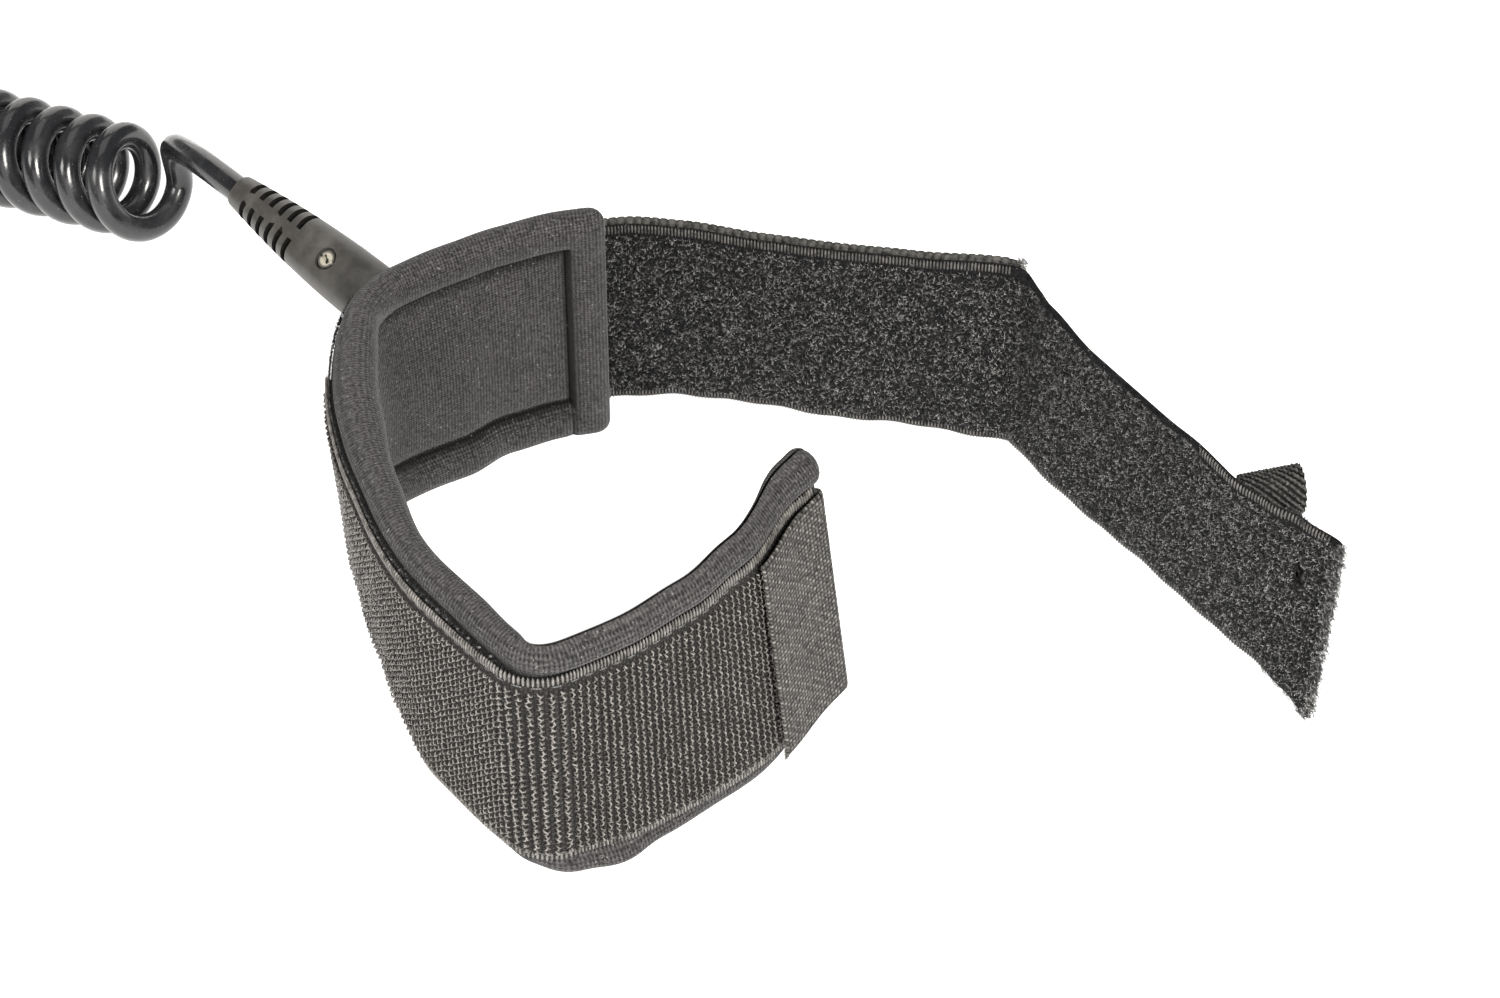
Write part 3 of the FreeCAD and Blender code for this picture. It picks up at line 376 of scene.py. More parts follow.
def moulded_horn(name, node, start, way, screw_way):
    """Cord end whose slots gape a little and have painted shade inside."""
    start, way, up = np.array(start), np.array(way), np.array(screw_way)
    side = np.cross(up, way)
    merged = bmesh.new()
    merged.from_mesh(nodes[node].data)
    bmesh.ops.remove_doubles(merged, verts=merged.verts, dist=0.000001)
    slot_of = {}
    for vert in merged.verts:
        place = np.array(vert.co) / MM - start
        run = float(place @ way)
        number = min(max(round((run - SLOT_FIRST) / SLOT_PITCH), 0), LAST_SLOT)
        aside = run - SLOT_FIRST - SLOT_PITCH * number
        if abs(aside) < SLOT_WIDE / 2 + 0.05:
            slot_of[vert] = (number, bool(place @ side > 0), bool(place @ up > 0))
            vert.co += Vector(way * aside * (SLOT_MOUTH / SLOT_WIDE - 1) * MM)
    # Faces that lie inside one slot take the second finish, the painted slot shade.
    for face in merged.faces:
        slots = {slot_of.get(vert) for vert in face.verts}
        face.material_index = int(len(slots) == 1 and None not in slots)
        face.smooth = True
    mesh = bpy.data.meshes.new(name)
    merged.to_mesh(mesh)
    merged.free()
    if "custom_normal" in mesh.attributes:
        mesh.attributes.remove(mesh.attributes["custom_normal"])
    for material in (horn_plastic, horn_slot_shade):
        mesh.materials.append(material)
    mesh.set_sharp_from_angle(angle=radians(32))
    item = in_scene(name, mesh)
    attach(item, "cord")
    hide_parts(node)
    return item


moulded_horn("near_cord_end", "near_horn", HORN_START, AIM, HORN_UP)
far_cord_end = moulded_horn("far_cord_end", "far_horn", FAR_START, (-1, 0, 0), UP)
for side in ("near", "far"):
    refinish(side + "_screw", screw_metals[side])
    refinish(side + "_nut", screw_metals[side])
    refinish(side + "_crimp", crimp_metal)


# Knit. Fine black jersey whose wales stand upright on the pad, dusted with lint.
def axes(place):
    """The first two numbers of a vector."""
    node = place.tree.nodes.new("ShaderNodeSeparateXYZ")
    joined(place, node.inputs[0])
    return Value(node.outputs["X"]), Value(node.outputs["Y"])


def cloth_place(place):
    """Place on the flat cloth, in metres."""
    node = place.tree.nodes.new("ShaderNodeUVMap")
    node.uv_map = "cloth"
    return Value(node.outputs["UV"])


(place, wale), result = effect("knit", ["Height"], Wale=0.0006)
x, y = axes(place)
ridge = calculate("PINGPONG", x / wale, 0.5) * 2
loop = calculate("SINE", ridge * -2.2 + y / wale * (2 * pi * 1.2)) * 0.5 + 0.5
joined(loop * 0.35 + (ridge * 0.6 + 0.06), result["Height"])


def dusted(place, shader, height, dark, light, share=0.3, grain=0.00055, least=0.15, most=1.7, crease=1.0):
    """Fabric colour from dark hollows to light ridges, grainy, with lint on it. The dark of the hollows is
    painted shade, and a crease share below 1 paints more shade.
    """
    marks = placed("dust", place, Speck=0.00035, Share=share)
    grains = spread(noise(place, grain, 2, 0.6), 0.34, 0.66, least, most)
    tone = (height * 0.9 + marks["Smudges"] * 0.1) * grains * crease
    joined(blended(marks["Specks"] * 0.6, blended(tone, dark, light), (0.3, 0.3, 0.29)), shader["Base Color"])


# Where the crease runs round the panel, along the pad and up it, in millimetres.
CREASE_ALONG = (8.1, 236.4)
CREASE_UP = (6.2, 53.8)


def from_edges(value, low, high):
    """How far a value lies outside two edges in millimetres."""
    return abs(value - (low + high) / 2 * MM) - (high - low) / 2 * MM


knit, shader, place = finish_of("knit", 0.9, specular=0.2, sheen=0.1)
height = placed("knit", cloth_place(place), Wale=0.00075)["Height"]
# The crease round the panel is drawn down deep, and painted shade darkens the knit almost to black in it; a
# painted shadow of the top rail lies on the panel below it.
along, up = axes(cloth_place(place))
edge = abs(calculate("MAXIMUM", from_edges(along, *CREASE_ALONG), from_edges(up, *CREASE_UP)))
below_rail = spread(up, 0.0482, 0.0512, 1, 0.12)
above_crease = spread(up, 0.0538, 0.0546)
on_panel = calculate("GREATER_THAN", along, 0.0078)
shaded = on_panel * (1 - calculate("MAXIMUM", below_rail, above_crease))
dusted(place, shader, height, grey(0.002), (0.092, 0.0885, 0.089), share=0.35, grain=0.0004,
       least=0.4, most=1.5, crease=spread(edge, 0.0002, 0.0009, 0.15, 1) * (1 - shaded))
raised(shader, height, 0.0003, 0.8)


# Pad. Foam in a fine black knit, cut as a strip that is 60 mm high and folded
# once at the front. Its border is rolled over and stands proud of the panel.
def ramp(value, start, end):
    """Share that rises from 0 at a start to 1 at an end."""
    return np.clip((value - start) / (end - start), 0, 1)


def smooth(value, start, end):
    """The same share, eased at both ends."""
    share = ramp(value, start, end)
    return share * share * (3 - 2 * share)


def bump(value, middle, wide):
    """Soft bump of height 1."""
    return np.exp(-((value - middle) / wide) ** 2)


def eased(rows, station):
    """Values of a table at a station, eased from row to row."""
    station = min(max(station, rows[0][0]), rows[-1][0])
    for first, last in zip(rows, rows[1:]):
        if first[0] <= station <= last[0]:
            part = smooth(station, first[0], last[0])
            return [a + (b - a) * part for a, b in zip(first[1:], last[1:])]


TAPE_FOOT = 5
TAPE_WIDE = 50
TAPE_HEAD = TAPE_FOOT + TAPE_WIDE


class Wall:
    """A wall on a line in plan. Positive offsets lie to the left of the line.

    The line has stretches of a length and a turn. Each row of leans says how far the
    tape's low and high edges move to the left there.
    """

    MARGIN = 40
    STEP = 0.25

    def __init__(self, x, y, heading, stretches, leans):
        longs, turns = np.array(stretches).T
        ends = np.cumsum(longs)
        station = np.arange(-self.MARGIN, ends[-1] + self.MARGIN + self.STEP / 2, self.STEP)
        middle = station + self.STEP / 2
        bend = np.append(turns / longs, 0)[np.searchsorted(ends, middle, side="right")]
        turn = np.where(middle < 0, 0, bend) * self.STEP
        headings = heading + np.cumsum(turn) - turn
        steps = self.STEP * np.array([np.cos(np.radians(headings + turn / 2)),
                                      np.sin(np.radians(headings + turn / 2))])
        start = np.array([[x], [y]]) - self.MARGIN * np.array(level(heading))[:2, None]
        lines = start + np.cumsum(steps, axis=1) - steps
        lean = np.array([eased(leans, place) for place in station]).T
        self.table = np.array([station, *lines, headings, *lean])

    def place(self, station, offset, height):
        """Points of the wall, in metres, as rows of an array."""
        station, offset, height = np.broadcast_arrays(*(
            np.asarray(value, float) for value in (station, offset, height)))
        x, y, heading, low, high = (np.interp(station, self.table[0], row) for row in self.table[1:])
        offset = offset + low + (high - low) * (height - TAPE_FOOT) / TAPE_WIDE
        side = np.radians(heading + 90)
        return np.stack([x + np.cos(side) * offset, y + np.sin(side) * offset, height], -1) * MM

    def point(self, station, offset, height):
        """One point of the wall, in metres."""
        return Vector(self.place(station, offset, height))

    def heading(self, station):
        """Heading of the line in degrees."""
        return float(np.interp(station, self.table[0], self.table[3]))


cuff_wall = Wall(-30.3, 41.5, 189.5, [
    (9, 0), (37, 26), (17.5, 46), (38, 29), (24, 5), (22, 18), (16, 1.5),
    (11, 76), (26, 5), (27, 15), (17, 0)], [
        (0, -1.7, -0.6), (9, -1.5, -0.6), (22, 0.2, 0.6), (34, 3.1, 1.6), (46, 2.8, 2), (60, 1.5, 2),
        (76, 3.6, 2), (92, 5.2, 1.8), (108, 4.6, 1.2), (124, 3.2, 0.6), (142, 1.2, 0.4), (160, 0.1, -0.4),
        (174, -0.6, -0.4), (187, -2.9, -0.8), (201, -2.9, 0.4), (215, -3, 2.6), (235, -0.8, 6.5),
        (245, -0.8, 6.5)])
PAD_LENGTH = 244.5
PAD_HEIGHT = 60
MIDDLE = PAD_HEIGHT / 2
FOLD = 169
# Share of its thickness that the pad keeps along the wall.
PAD_FULLNESS = [(0, 1), (60, 1), (76, 1.25), (94, 1.3), (112, 1.05), (132, 0.85), (152, 0.9), (163, 0.75),
                (172, 0.36), (187, 0.3), (212, 0.3), (226, 0.35), (238, 0.7), (245, 0.8)]
# Share of a roll 4 mm deep that the low border swells outwards, most at the fold.
LOW_ROLL = [(0, 0), (158, 0), (168, 0.1), (175, 0.8), (181, 1), (192, 0.45), (208, 0.2), (236, 0)]
# Border rows, from the edge inwards: distance from the edge, offset of the inner
# and of the outer skin. The deepest rows are the crease beside the panel.
BORDER = [(0, 2.9, 2.9), (0.3, 4.4, 1.2), (1.3, 5.6, -0.3), (2.9, 6.3, -1), (4.9, 6.2, -0.6),
          (6.4, 5.7, -0.1), (7.3, 4.9, 0), (7.8, 3.6, 0), (8, 1.8, 0), (8.2, 0.9, 0), (8.5, 1.2, 0),
          (9.5, 2.4, 0), (12, 3.2, 0)]
BORDER_WIDE = BORDER[-1][0]
CORNER_ROW = 3
TOP_SWELL = 0.8
END_SEAM = 8.2
TAPE_LIP = 53.9
MIDDLE_ROWS = 7


def blank(columns, rows):
    """Flat grid with a corner at zero and squares of size one."""
    grid = bmesh.new()
    bmesh.ops.create_grid(grid, x_segments=columns, y_segments=rows, size=0.5)
    bmesh.ops.scale(grid, vec=(columns, rows, 1), verts=grid.verts)
    bmesh.ops.translate(grid, vec=(columns / 2, rows / 2, 0), verts=grid.verts)
    return grid


def piece(name, grid, material, bend):
    """Object of a flat bmesh, bent. UV holds its flat place in metres."""
    mesh = bpy.data.meshes.new(name)
    grid.to_mesh(mesh)
    grid.free()
    flat = np.zeros(len(mesh.vertices) * 3)
    mesh.vertices.foreach_get("co", flat)
    bent, cloth = bend(flat.reshape(-1, 3))
    mesh.vertices.foreach_set("co", bent.ravel())
    corners = np.zeros(len(mesh.loops), int)
    mesh.loops.foreach_get("vertex_index", corners)
    mesh.uv_layers.new(name="cloth").data.foreach_set("uv", (cloth[corners] * MM).ravel())
    mesh.materials.append(material)
    mesh.polygons.foreach_set("use_smooth", [True] * len(mesh.polygons))
    mesh.update()
    return in_scene(name, mesh)


def finer(item):
    """Subdivision Surface modifier."""
    smoothing = item.modifiers.new("finer", "SUBSURF")
    smoothing.levels = smoothing.render_levels = 1


border = np.array(BORDER).T
rows_in = np.arange(len(BORDER))
LAST_ROW = rows_in[-1]
pad_size = np.array([PAD_LENGTH, PAD_HEIGHT])
pad_squares = np.array([2 * LAST_ROW + int((PAD_LENGTH - 2 * BORDER_WIDE) / 2), 2 * LAST_ROW + MIDDLE_ROWS])


def pad_skin(inside):
    """Way to bend a flat grid to the pad's inner or outer skin."""
    level_row = 1 if inside else 2

    def bend(flat):
        flat = flat[:, :2]
        near = np.minimum(flat, pad_squares - flat)
        spacing = (pad_size / 2 - BORDER_WIDE) / (pad_squares / 2 - LAST_ROW)
        away = np.where(near <= LAST_ROW, np.interp(near, rows_in, border[0]),
                        BORDER_WIDE + (near - LAST_ROW) * spacing)
        # Corners: the square of rows is drawn together to a quarter disc.
        share = ramp(near, CORNER_ROW, 0)
        disc = share * np.sqrt(1 - share[:, ::-1] ** 2 / 2)
        reach = np.hypot(*disc.T)
        corner = (share > 0).all(1)
        row = np.where(corner, CORNER_ROW * (1 - reach), near.min(1))
        centre = BORDER[CORNER_ROW][0]
        span = (centre - np.interp(row, rows_in, border[0])) / np.maximum(reach, 1e-9)
        away = np.where(corner[:, None], centre - disc * span[:, None], away)
        offset = np.interp(row, rows_in, border[level_row])
        deep = ramp(away.min(1), BORDER_WIDE, BORDER_WIDE + 17)
        offset += (1.3 if inside else 0) * np.sin(deep * pi / 2)
        station, height = np.where(flat < pad_squares / 2, away, pad_size - away).T
        full = np.array([eased(PAD_FULLNESS, s)[0] for s in station])
        crumple = bump(station, FOLD, 4) * np.sin(station * 2.6) * (0.35 if inside else 0)
        offset = np.where(offset > 0, offset * full, offset) + crumple * (height > 8)
        roll = np.array([eased(LOW_ROLL, s)[0] for s in station]) * ramp(height, 7, 3)
        offset -= 4 * roll * (0.5 if inside else 1)
        # Behind the end rail a seam runs across the low rail.
        seam = ramp(np.abs(station - END_SEAM), 0.5, 0) * (height < 8) * (height > 0.3)
        offset -= (1.8 if inside else 0) * seam
        # The border's cloth is longer than its plan: it runs round the edge.
        up = np.interp(near[:, 1], rows_in, 5.5 - rows_in * 0.45)
        up = np.where(flat[:, 1] < pad_squares[1] / 2, -up, up)
        cloth = np.stack([station, height + (up if inside else 100 - up)], -1)
        # At the front the foam stands out over the upper edge of the tapes.
        lip = ramp(height, TAPE_LIP, TAPE_LIP + 1.2) * ramp(height, 60.6, 58.1)
        offset -= (0 if inside else 1.9) * lip * ramp(station, 164, 176)
        swell = TOP_SWELL + ramp(station, 30, 0)
        height = height + swell * ramp(height, 40, 60)
        return cuff_wall.place(station, offset, height), cloth
    return bend


def pad_shell():
    """Inner and outer skin, joined along the pad's edge."""
    inner = piece("cuff_pad", blank(*pad_squares.tolist()), knit, pad_skin(True))
    outer = piece("pad_back", blank(*pad_squares.tolist()), knit, pad_skin(False))
    both = bmesh.new()
    both.from_mesh(outer.data)
    bmesh.ops.reverse_faces(both, faces=both.faces)
    both.from_mesh(inner.data)
    bmesh.ops.remove_doubles(both, verts=both.verts, dist=0.00002)
    bmesh.ops.recalc_face_normals(both, faces=both.faces)
    both.to_mesh(inner.data)
    both.free()
    bpy.data.objects.remove(outer)
    return inner


pad = pad_shell()
finer(pad)
FOLD_WAY = level(-40)


def across_fold(item):
    """Bake a piece's place into its mesh. The front fold's axis is worked out, but nothing is bent."""
    axis = cuff_wall.point(FOLD, -3.42, MIDDLE)
    middle = cuff_wall.point(FOLD, 1, MIDDLE)
    middle = axis + FOLD_WAY * (middle - axis).dot(FOLD_WAY)
    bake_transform(item)


across_fold(pad)
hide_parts("rolled_rim_rear", "rolled_rim_front", "inner_panel_rear", "inner_panel_front")


# Base tape. Black woven loop tape, 50 mm wide, stitched flat on the outside of the
# whole pad. Only its edges show beside the hook tape, and its face at the back.
(place, thread, slant), result = effect("weave", ["Height"], Thread=0.0006, Slant=0.0)
x, y = axes(place)
weft = y / thread
warp = x / thread + weft * slant
over = abs(calculate("MODULO", calculate("FLOOR", warp) + calculate("FLOOR", weft), 2))
tops = abs(calculate("SINE", warp * pi)) * abs(calculate("SINE", weft * pi))
joined(tops * (over * 0.55 + 0.45), result["Height"])


def woven(name, thread, slant, dark, light, depth, least=0.6, most=1.4):
    """Woven tape or webbing of one thread size."""
    material, shader, place = finish_of(name, 0.8, specular=0.25, sheen=0.05)
    height = placed("weave", cloth_place(place), Thread=thread, Slant=slant)["Height"]
    dusted(place, shader, height, dark, light, share=0.2, grain=0.0005, least=least, most=most)
    raised(shader, height, depth)
    return material


def strip(begin, end, low, high, along, across):
    """Flat strip, in millimetres, with squares of about along by across."""
    columns = max(1, round((end - begin) / along))
    rows = max(1, round((high - low) / across))
    grid = blank(columns, rows)
    bmesh.ops.scale(grid, vec=((end - begin) / columns, (high - low) / rows, 1), verts=grid.verts)
    bmesh.ops.translate(grid, vec=(begin, low, 0), verts=grid.verts)
    return grid


def thickened(grid, inner, outer):
    """Give a flat strip its thickness, from an inner to an outer offset."""
    bmesh.ops.translate(grid, vec=(0, 0, inner), verts=grid.verts)
    made = bmesh.ops.extrude_face_region(grid, geom=grid.faces[:], use_keep_orig=True)
    moved = [item for item in made["geom"] if isinstance(item, bmesh.types.BMVert)]
    bmesh.ops.translate(grid, vec=(0, 0, outer - inner), verts=moved)
    bmesh.ops.recalc_face_normals(grid, faces=grid.faces)
    return grid


def on_cuff(flat):
    """Bend flat work along the cuff's wall."""
    return cuff_wall.place(flat[:, 0], flat[:, 2], flat[:, 1]), flat[:, :2]


def threads(paths, thick, tones, sides=3):
    """Threads with pointed ends, one for each path. Each has a tone from 0 to 1."""
    count, points, _ = paths.shape
    way = np.gradient(paths, axis=1)
    way /= np.maximum(np.linalg.norm(way, axis=2, keepdims=True), 1e-9)
    first = np.cross(way, np.array([0.31, 0.17, 0.94]))
    first /= np.maximum(np.linalg.norm(first, axis=2, keepdims=True), 1e-9)
    second = np.cross(way, first)
    turn = np.arange(sides) * 2 * pi / sides
    ring = (paths[:, 1:-1, None] + thick[:, None, None, None] * (
        first[:, 1:-1, None] * np.cos(turn)[:, None] + second[:, 1:-1, None] * np.sin(turn)[:, None]))
    rings = points - 2
    verts = np.concatenate([paths[:, :1], ring.reshape(count, rings * sides, 3), paths[:, -1:]], axis=1)
    faces = []
    for side in range(sides):
        after = (side + 1) % sides
        faces.append((0, 1 + after, 1 + side))
        for low in range(1, 1 + (rings - 1) * sides, sides):
            faces.append((low + side, low + after, low + sides + after, low + sides + side))
        last = 1 + (rings - 1) * sides
        faces.append((last + side, last + after, last + sides))
    size = rings * sides + 2
    mesh = bpy.data.meshes.new("threads")
    starts = range(0, count * size, size)
    mesh.from_pydata(verts.reshape(-1, 3).tolist(), [],
                     [[start + corner for corner in face] for start in starts for face in faces])
    tone = mesh.attributes.new("tone", "FLOAT", "POINT")
    tone.data.foreach_set("value", np.repeat(tones, size).astype(np.float32))
    made = bmesh.new()
    made.from_mesh(mesh)
    bpy.data.meshes.remove(mesh)
    bmesh.ops.recalc_face_normals(made, faces=made.faces)
    return made


def thread_finish(name, dark, light, roughness=0.5, specular=0.4):
    """Finish of threads, each as light as its tone."""
    material, shader, place = finish_of(name, roughness, specular=specular)
    tone = place.tree.nodes.new("ShaderNodeAttribute")
    tone.attribute_name = "tone"
    rough = spread(noise(place, 0.0004, 2, 0.6), 0.3, 0.7, 0.7, 1.3)
    joined(blended(Value(tone.outputs["Fac"]) * rough, dark, light), shader["Base Color"])
    return material


def fibres(name, chance, places, long, thick, stand, curl, finish, bend, tone=1, power=1):
    """Piece of short curled fibres that lie about on a flat face. Few are light where the power is high."""
    places = np.stack(np.broadcast_arrays(*places), -1)
    count = len(places)
    heading = chance.uniform(0, 2 * pi, count)
    half = long * chance.uniform(0.6, 1.2, count) / 2
    way = np.stack([np.cos(heading), np.sin(heading)], -1)
    side = np.stack([-way[:, 1], way[:, 0]], -1)
    bow = curl * half * chance.uniform(-1, 1, count)
    paths = np.zeros((count, 3, 3))
    for number, (run, lift) in enumerate(((-1, 0.1), (0, 1), (1, 0.3))):
        aside = bow if run == 0 else 0 * bow
        paths[:, number, :2] = places[:, :2] + way * (run * half)[:, None] + side * aside[:, None]
        paths[:, number, 2] = places[:, 2] - stand * lift * chance.uniform(0.5, 1.1, count)
    thick = thick * chance.uniform(0.7, 1.2, count)
    tones = tone * chance.uniform(0, 1, count) ** power
    return piece(name, threads(paths, thick, tones), finish, bend)


base_black = woven("base_black", 0.0007, 0.5, grey(0.0015), grey(0.012), 0.0002)
BASE_TOP = 56.9


def on_base(flat):
    """Bend flat work along the cuff. The base tape's upper edge sinks at the fold."""
    flat = flat.copy()
    flat[:, 1] -= 2.6 * ramp(flat[:, 1], 45, 55) * ramp(flat[:, 0], 150, 168)
    return on_cuff(flat)


base_flat = thickened(strip(2, 238.5, TAPE_FOOT, BASE_TOP, 2, 2.5), -0.22, -1.42)
base_tape = piece("base_tape", base_flat, base_black, on_base)
finer(base_tape)
across_fold(base_tape)
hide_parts("base_tape_rear", "base_tape_front")

chance = np.random.default_rng(11)
count = 2600
base_pile_finish = thread_finish("base_pile", grey(0.002), (0.12, 0.12, 0.118))
base_pile = fibres("base_pile", chance, (
    chance.uniform(48, 168, count), chance.uniform(BASE_TOP - 1.6, BASE_TOP + 0.2, count), -1.35),
    1.1, 0.07, 0.5, 0.8, base_pile_finish, on_base, power=4)
across_fold(base_pile)


# Hook tape. Grey-black ground with ribbed edges, sewn on the base tape from behind
# the left bend to the flap's end. Rows of stiff hooks stand on it.
HOOK_START = 78
TAB_END = 240.5
GROUND_OUT = -2.2
SELVAGE = 1.7
RIB_PITCH = 0.69
HOOK_TOP = 54.7


def repeated(grid, count, step):
    """Copies of all that a bmesh holds, in a row."""
    unit = grid.verts[:] + grid.edges[:] + grid.faces[:]
    for number in range(1, count):
        copy = bmesh.ops.duplicate(grid, geom=unit)["geom"]
        bmesh.ops.translate(grid, vec=Vector(step) * number,
                            verts=[item for item in copy if isinstance(item, bmesh.types.BMVert)])
    return grid


def added(grid, other):
    """Put one bmesh into another."""
    mesh = bpy.data.meshes.new("part")
    other.to_mesh(mesh)
    other.free()
    grid.from_mesh(mesh)
    bpy.data.meshes.remove(mesh)
    return grid


def plump_row(begin, count, pitch, place, size, lean=0):
    """Row of plump threads, each a ball stretched to a size and leant in the face."""
    ball = bmesh.new()
    bmesh.ops.create_uvsphere(ball, u_segments=6, v_segments=6, radius=0.5)
    bmesh.ops.scale(ball, vec=size, verts=ball.verts)
    bmesh.ops.rotate(ball, cent=(0, 0, 0), matrix=Matrix.Rotation(radians(lean), 3, "Z"), verts=ball.verts)
    bmesh.ops.translate(ball, vec=(begin, place[0], place[1]), verts=ball.verts)
    return repeated(ball, count, (pitch, 0, 0))


tape_grey = woven("tape_grey", 0.0007, 0.0, (0.006, 0.0055, 0.005), (0.04, 0.037, 0.034), 0.0002)
ground = thickened(strip(HOOK_START, TAB_END, TAPE_FOOT, HOOK_TOP, 2, 2.5), -1.52, GROUND_OUT)
hook_ground = piece("hook_tape", ground, tape_grey, on_cuff)
across_fold(hook_ground)
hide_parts("hook_tape_rear", "hook_tape_front")

rib_finish = mottled("rib_threads", 0.55, 0.0009, (0.04, 0.037, 0.034), (0.25, 0.238, 0.224), grain=0.6,
                     low=0.3, high=0.7, specular=0.35)
ribs = int((TAB_END - HOOK_START) / RIB_PITCH)
edges = plump_row(HOOK_START + 0.3, ribs, RIB_PITCH, (TAPE_FOOT + SELVAGE / 2, GROUND_OUT),
                  (0.46, SELVAGE + 0.3, 0.8))
added(edges, plump_row(HOOK_START + 0.3, ribs, RIB_PITCH, (HOOK_TOP - SELVAGE / 2 + 0.5, GROUND_OUT),
                       (0.46, SELVAGE + 1, 0.9)))
hook_edges = piece("hook_tape_edges", edges, rib_finish, on_cuff)
across_fold(hook_edges)

COLUMN_PITCH = 0.76
HOOK_PITCH = 1.57
HOOK_HIGH = 1.0
HOOK_REACH = 0.95
HOOK_THICK = 0.17
# A hook's bends: share of its reach, and of its height.
HOOK_SHAPE = ((0, 0), (-0.05, 0.35), (0.08, 0.75), (0.4, 1), (0.75, 0.9), (0.98, 0.6), (1, 0.35))
chance = np.random.default_rng(5)
columns = np.arange(int((TAB_END - 1.5 - HOOK_START) / COLUMN_PITCH))
rows = np.arange(int((HOOK_TOP - TAPE_FOOT - 2 * SELVAGE) / HOOK_PITCH))
column, row = (table.ravel() for table in np.meshgrid(columns, rows, indexing="ij"))
count = len(column)
foot_x = HOOK_START + 0.7 + column * COLUMN_PITCH - 0.08 * (column % 2) + chance.normal(0, 0.05, count)
foot_y = TAPE_FOOT + SELVAGE + 0.2 + (row + 0.3 * (column % 2)) * HOOK_PITCH + chance.normal(0, 0.09, count)
lean = np.radians(np.where(column % 2 < 1, 34, -34) + chance.normal(0, 9, count))
reach = HOOK_REACH * chance.uniform(0.8, 1.15, count)
tall = HOOK_HIGH * chance.uniform(0.8, 1.08, count)
paths = np.zeros((count, len(HOOK_SHAPE), 3))
for number, (run, lift) in enumerate(HOOK_SHAPE):
    paths[:, number, 0] = foot_x + np.sin(lean) * reach * run
    paths[:, number, 1] = foot_y + np.cos(lean) * reach * run
    paths[:, number, 2] = GROUND_OUT - tall * lift
hook_nylon = thread_finish("hook_nylon", (0.05, 0.046, 0.043), (0.25, 0.235, 0.22), 0.34, 0.5)
tones = 0.3 + 0.7 * chance.uniform(0, 1, count) ** 1.3
hooks = piece("hook_rows", threads(paths, np.full(count, HOOK_THICK), tones), hook_nylon, on_cuff)
across_fold(hooks)

count = 260
frayed_end = fibres("hook_tape_fray", chance, (
    HOOK_START + chance.normal(0, 0.7, count), chance.uniform(TAPE_FOOT, HOOK_TOP + 0.5, count), -1.9),
    2.4, 0.08, 0.8, 0.7, hook_nylon, on_cuff)
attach(frayed_end, "cuff")


# Seam stitches. Grey thread through the tapes' edges and the pad.
def stitch_rows(begin, end, heights, offset, pitch, long, thick):
    """Rows of stitches at some heights, each stitch a short plump length of thread."""
    rows = bmesh.new()
    for height in heights:
        added(rows, plump_row(begin + long / 2, int((end - begin) / pitch), pitch, (height, offset),
                              (long, thick, thick)))
    return rows


thread_grey, shader, place = finish_of("thread_grey", 0.6, specular=0.35)
x, y = axes(cloth_place(place))
twist = calculate("SINE", (x + y) * (2 * pi / 0.0004))
joined(blended(spread(twist, -1, 1), grey(0.05), (0.2, 0.2, 0.195)), shader["Base Color"])
raised(shader, twist, 0.00005, 0.6)

SEAM_SET = SELVAGE + 0.1
seam = stitch_rows(HOOK_START + 1, TAB_END - 25, (TAPE_FOOT + SEAM_SET, HOOK_TOP - SEAM_SET),
                   GROUND_OUT - 0.05, 2.9, 1.9, 0.34)
added(seam, plump_row(50, 37, 3.1, (BASE_TOP - 0.7, -1.6), (1.1, 0.55, 0.5), 35))
added(seam, stitch_rows(50, HOOK_START, [6.4], -1.45, 2.9, 2.2, 0.42))
seam_stitches = piece("seam_stitches", seam, thread_grey, on_cuff)
across_fold(seam_stitches)
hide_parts("seam_stitches_rear", "seam_stitches_front")


# Folded tab. The end of the hook tape turned back on itself, with its plain woven
# back outwards, as a pull tab. Its free edge stands off the hooks.
RING_RADIUS = 0.85
RING_CENTRE = -3.0
TAB_LENGTH = 22
TAB_LIFT = radians(3)
TAB_SKEW = 0.06
ring_long = pi * RING_RADIUS


def on_tab(flat):
    """Bend flat work round the tape's end and back."""
    x, y, z = flat.T
    # The fold isn't quite square, so the tab is shorter at its low corner.
    x = np.where(x > ring_long, ring_long + (x - ring_long) * (1 - TAB_SKEW * (TAPE_HEAD - y) / TAPE_WIDE), x)
    turn = np.clip(x, 0, ring_long) / RING_RADIUS
    back = np.maximum(x - ring_long, 0)
    curled = (back / TAB_LENGTH) ** 2 * 0.5
    radius = RING_RADIUS + z
    straight = x > ring_long
    station = TAB_END + np.where(straight, z * sin(TAB_LIFT) - back * cos(TAB_LIFT),
                                 radius * np.sin(turn))
    offset = RING_CENTRE + np.where(
        straight, -RING_RADIUS - z * cos(TAB_LIFT) - back * sin(TAB_LIFT) + curled,
        radius * np.cos(turn))
    return cuff_wall.place(station, offset, y), flat[:, :2]


tab_weave = woven("tab_weave", 0.001, 0.0, grey(0.001), (0.225, 0.214, 0.2), 0.0005, least=0.15, most=1.7)
tab = piece("tab_tape", thickened(strip(-1, ring_long + TAB_LENGTH, TAPE_FOOT, 54.8, 0.7, 2), 0.5, -0.5),
            tab_weave, on_tab)
finer(tab)
tab_root = cuff_wall.point(TAB_END, -5.1, MIDDLE)


def across_tab(item):
    """Bake a piece's place into its mesh; nothing is bent."""
    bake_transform(item)


across_tab(tab)
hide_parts("folded_tab")

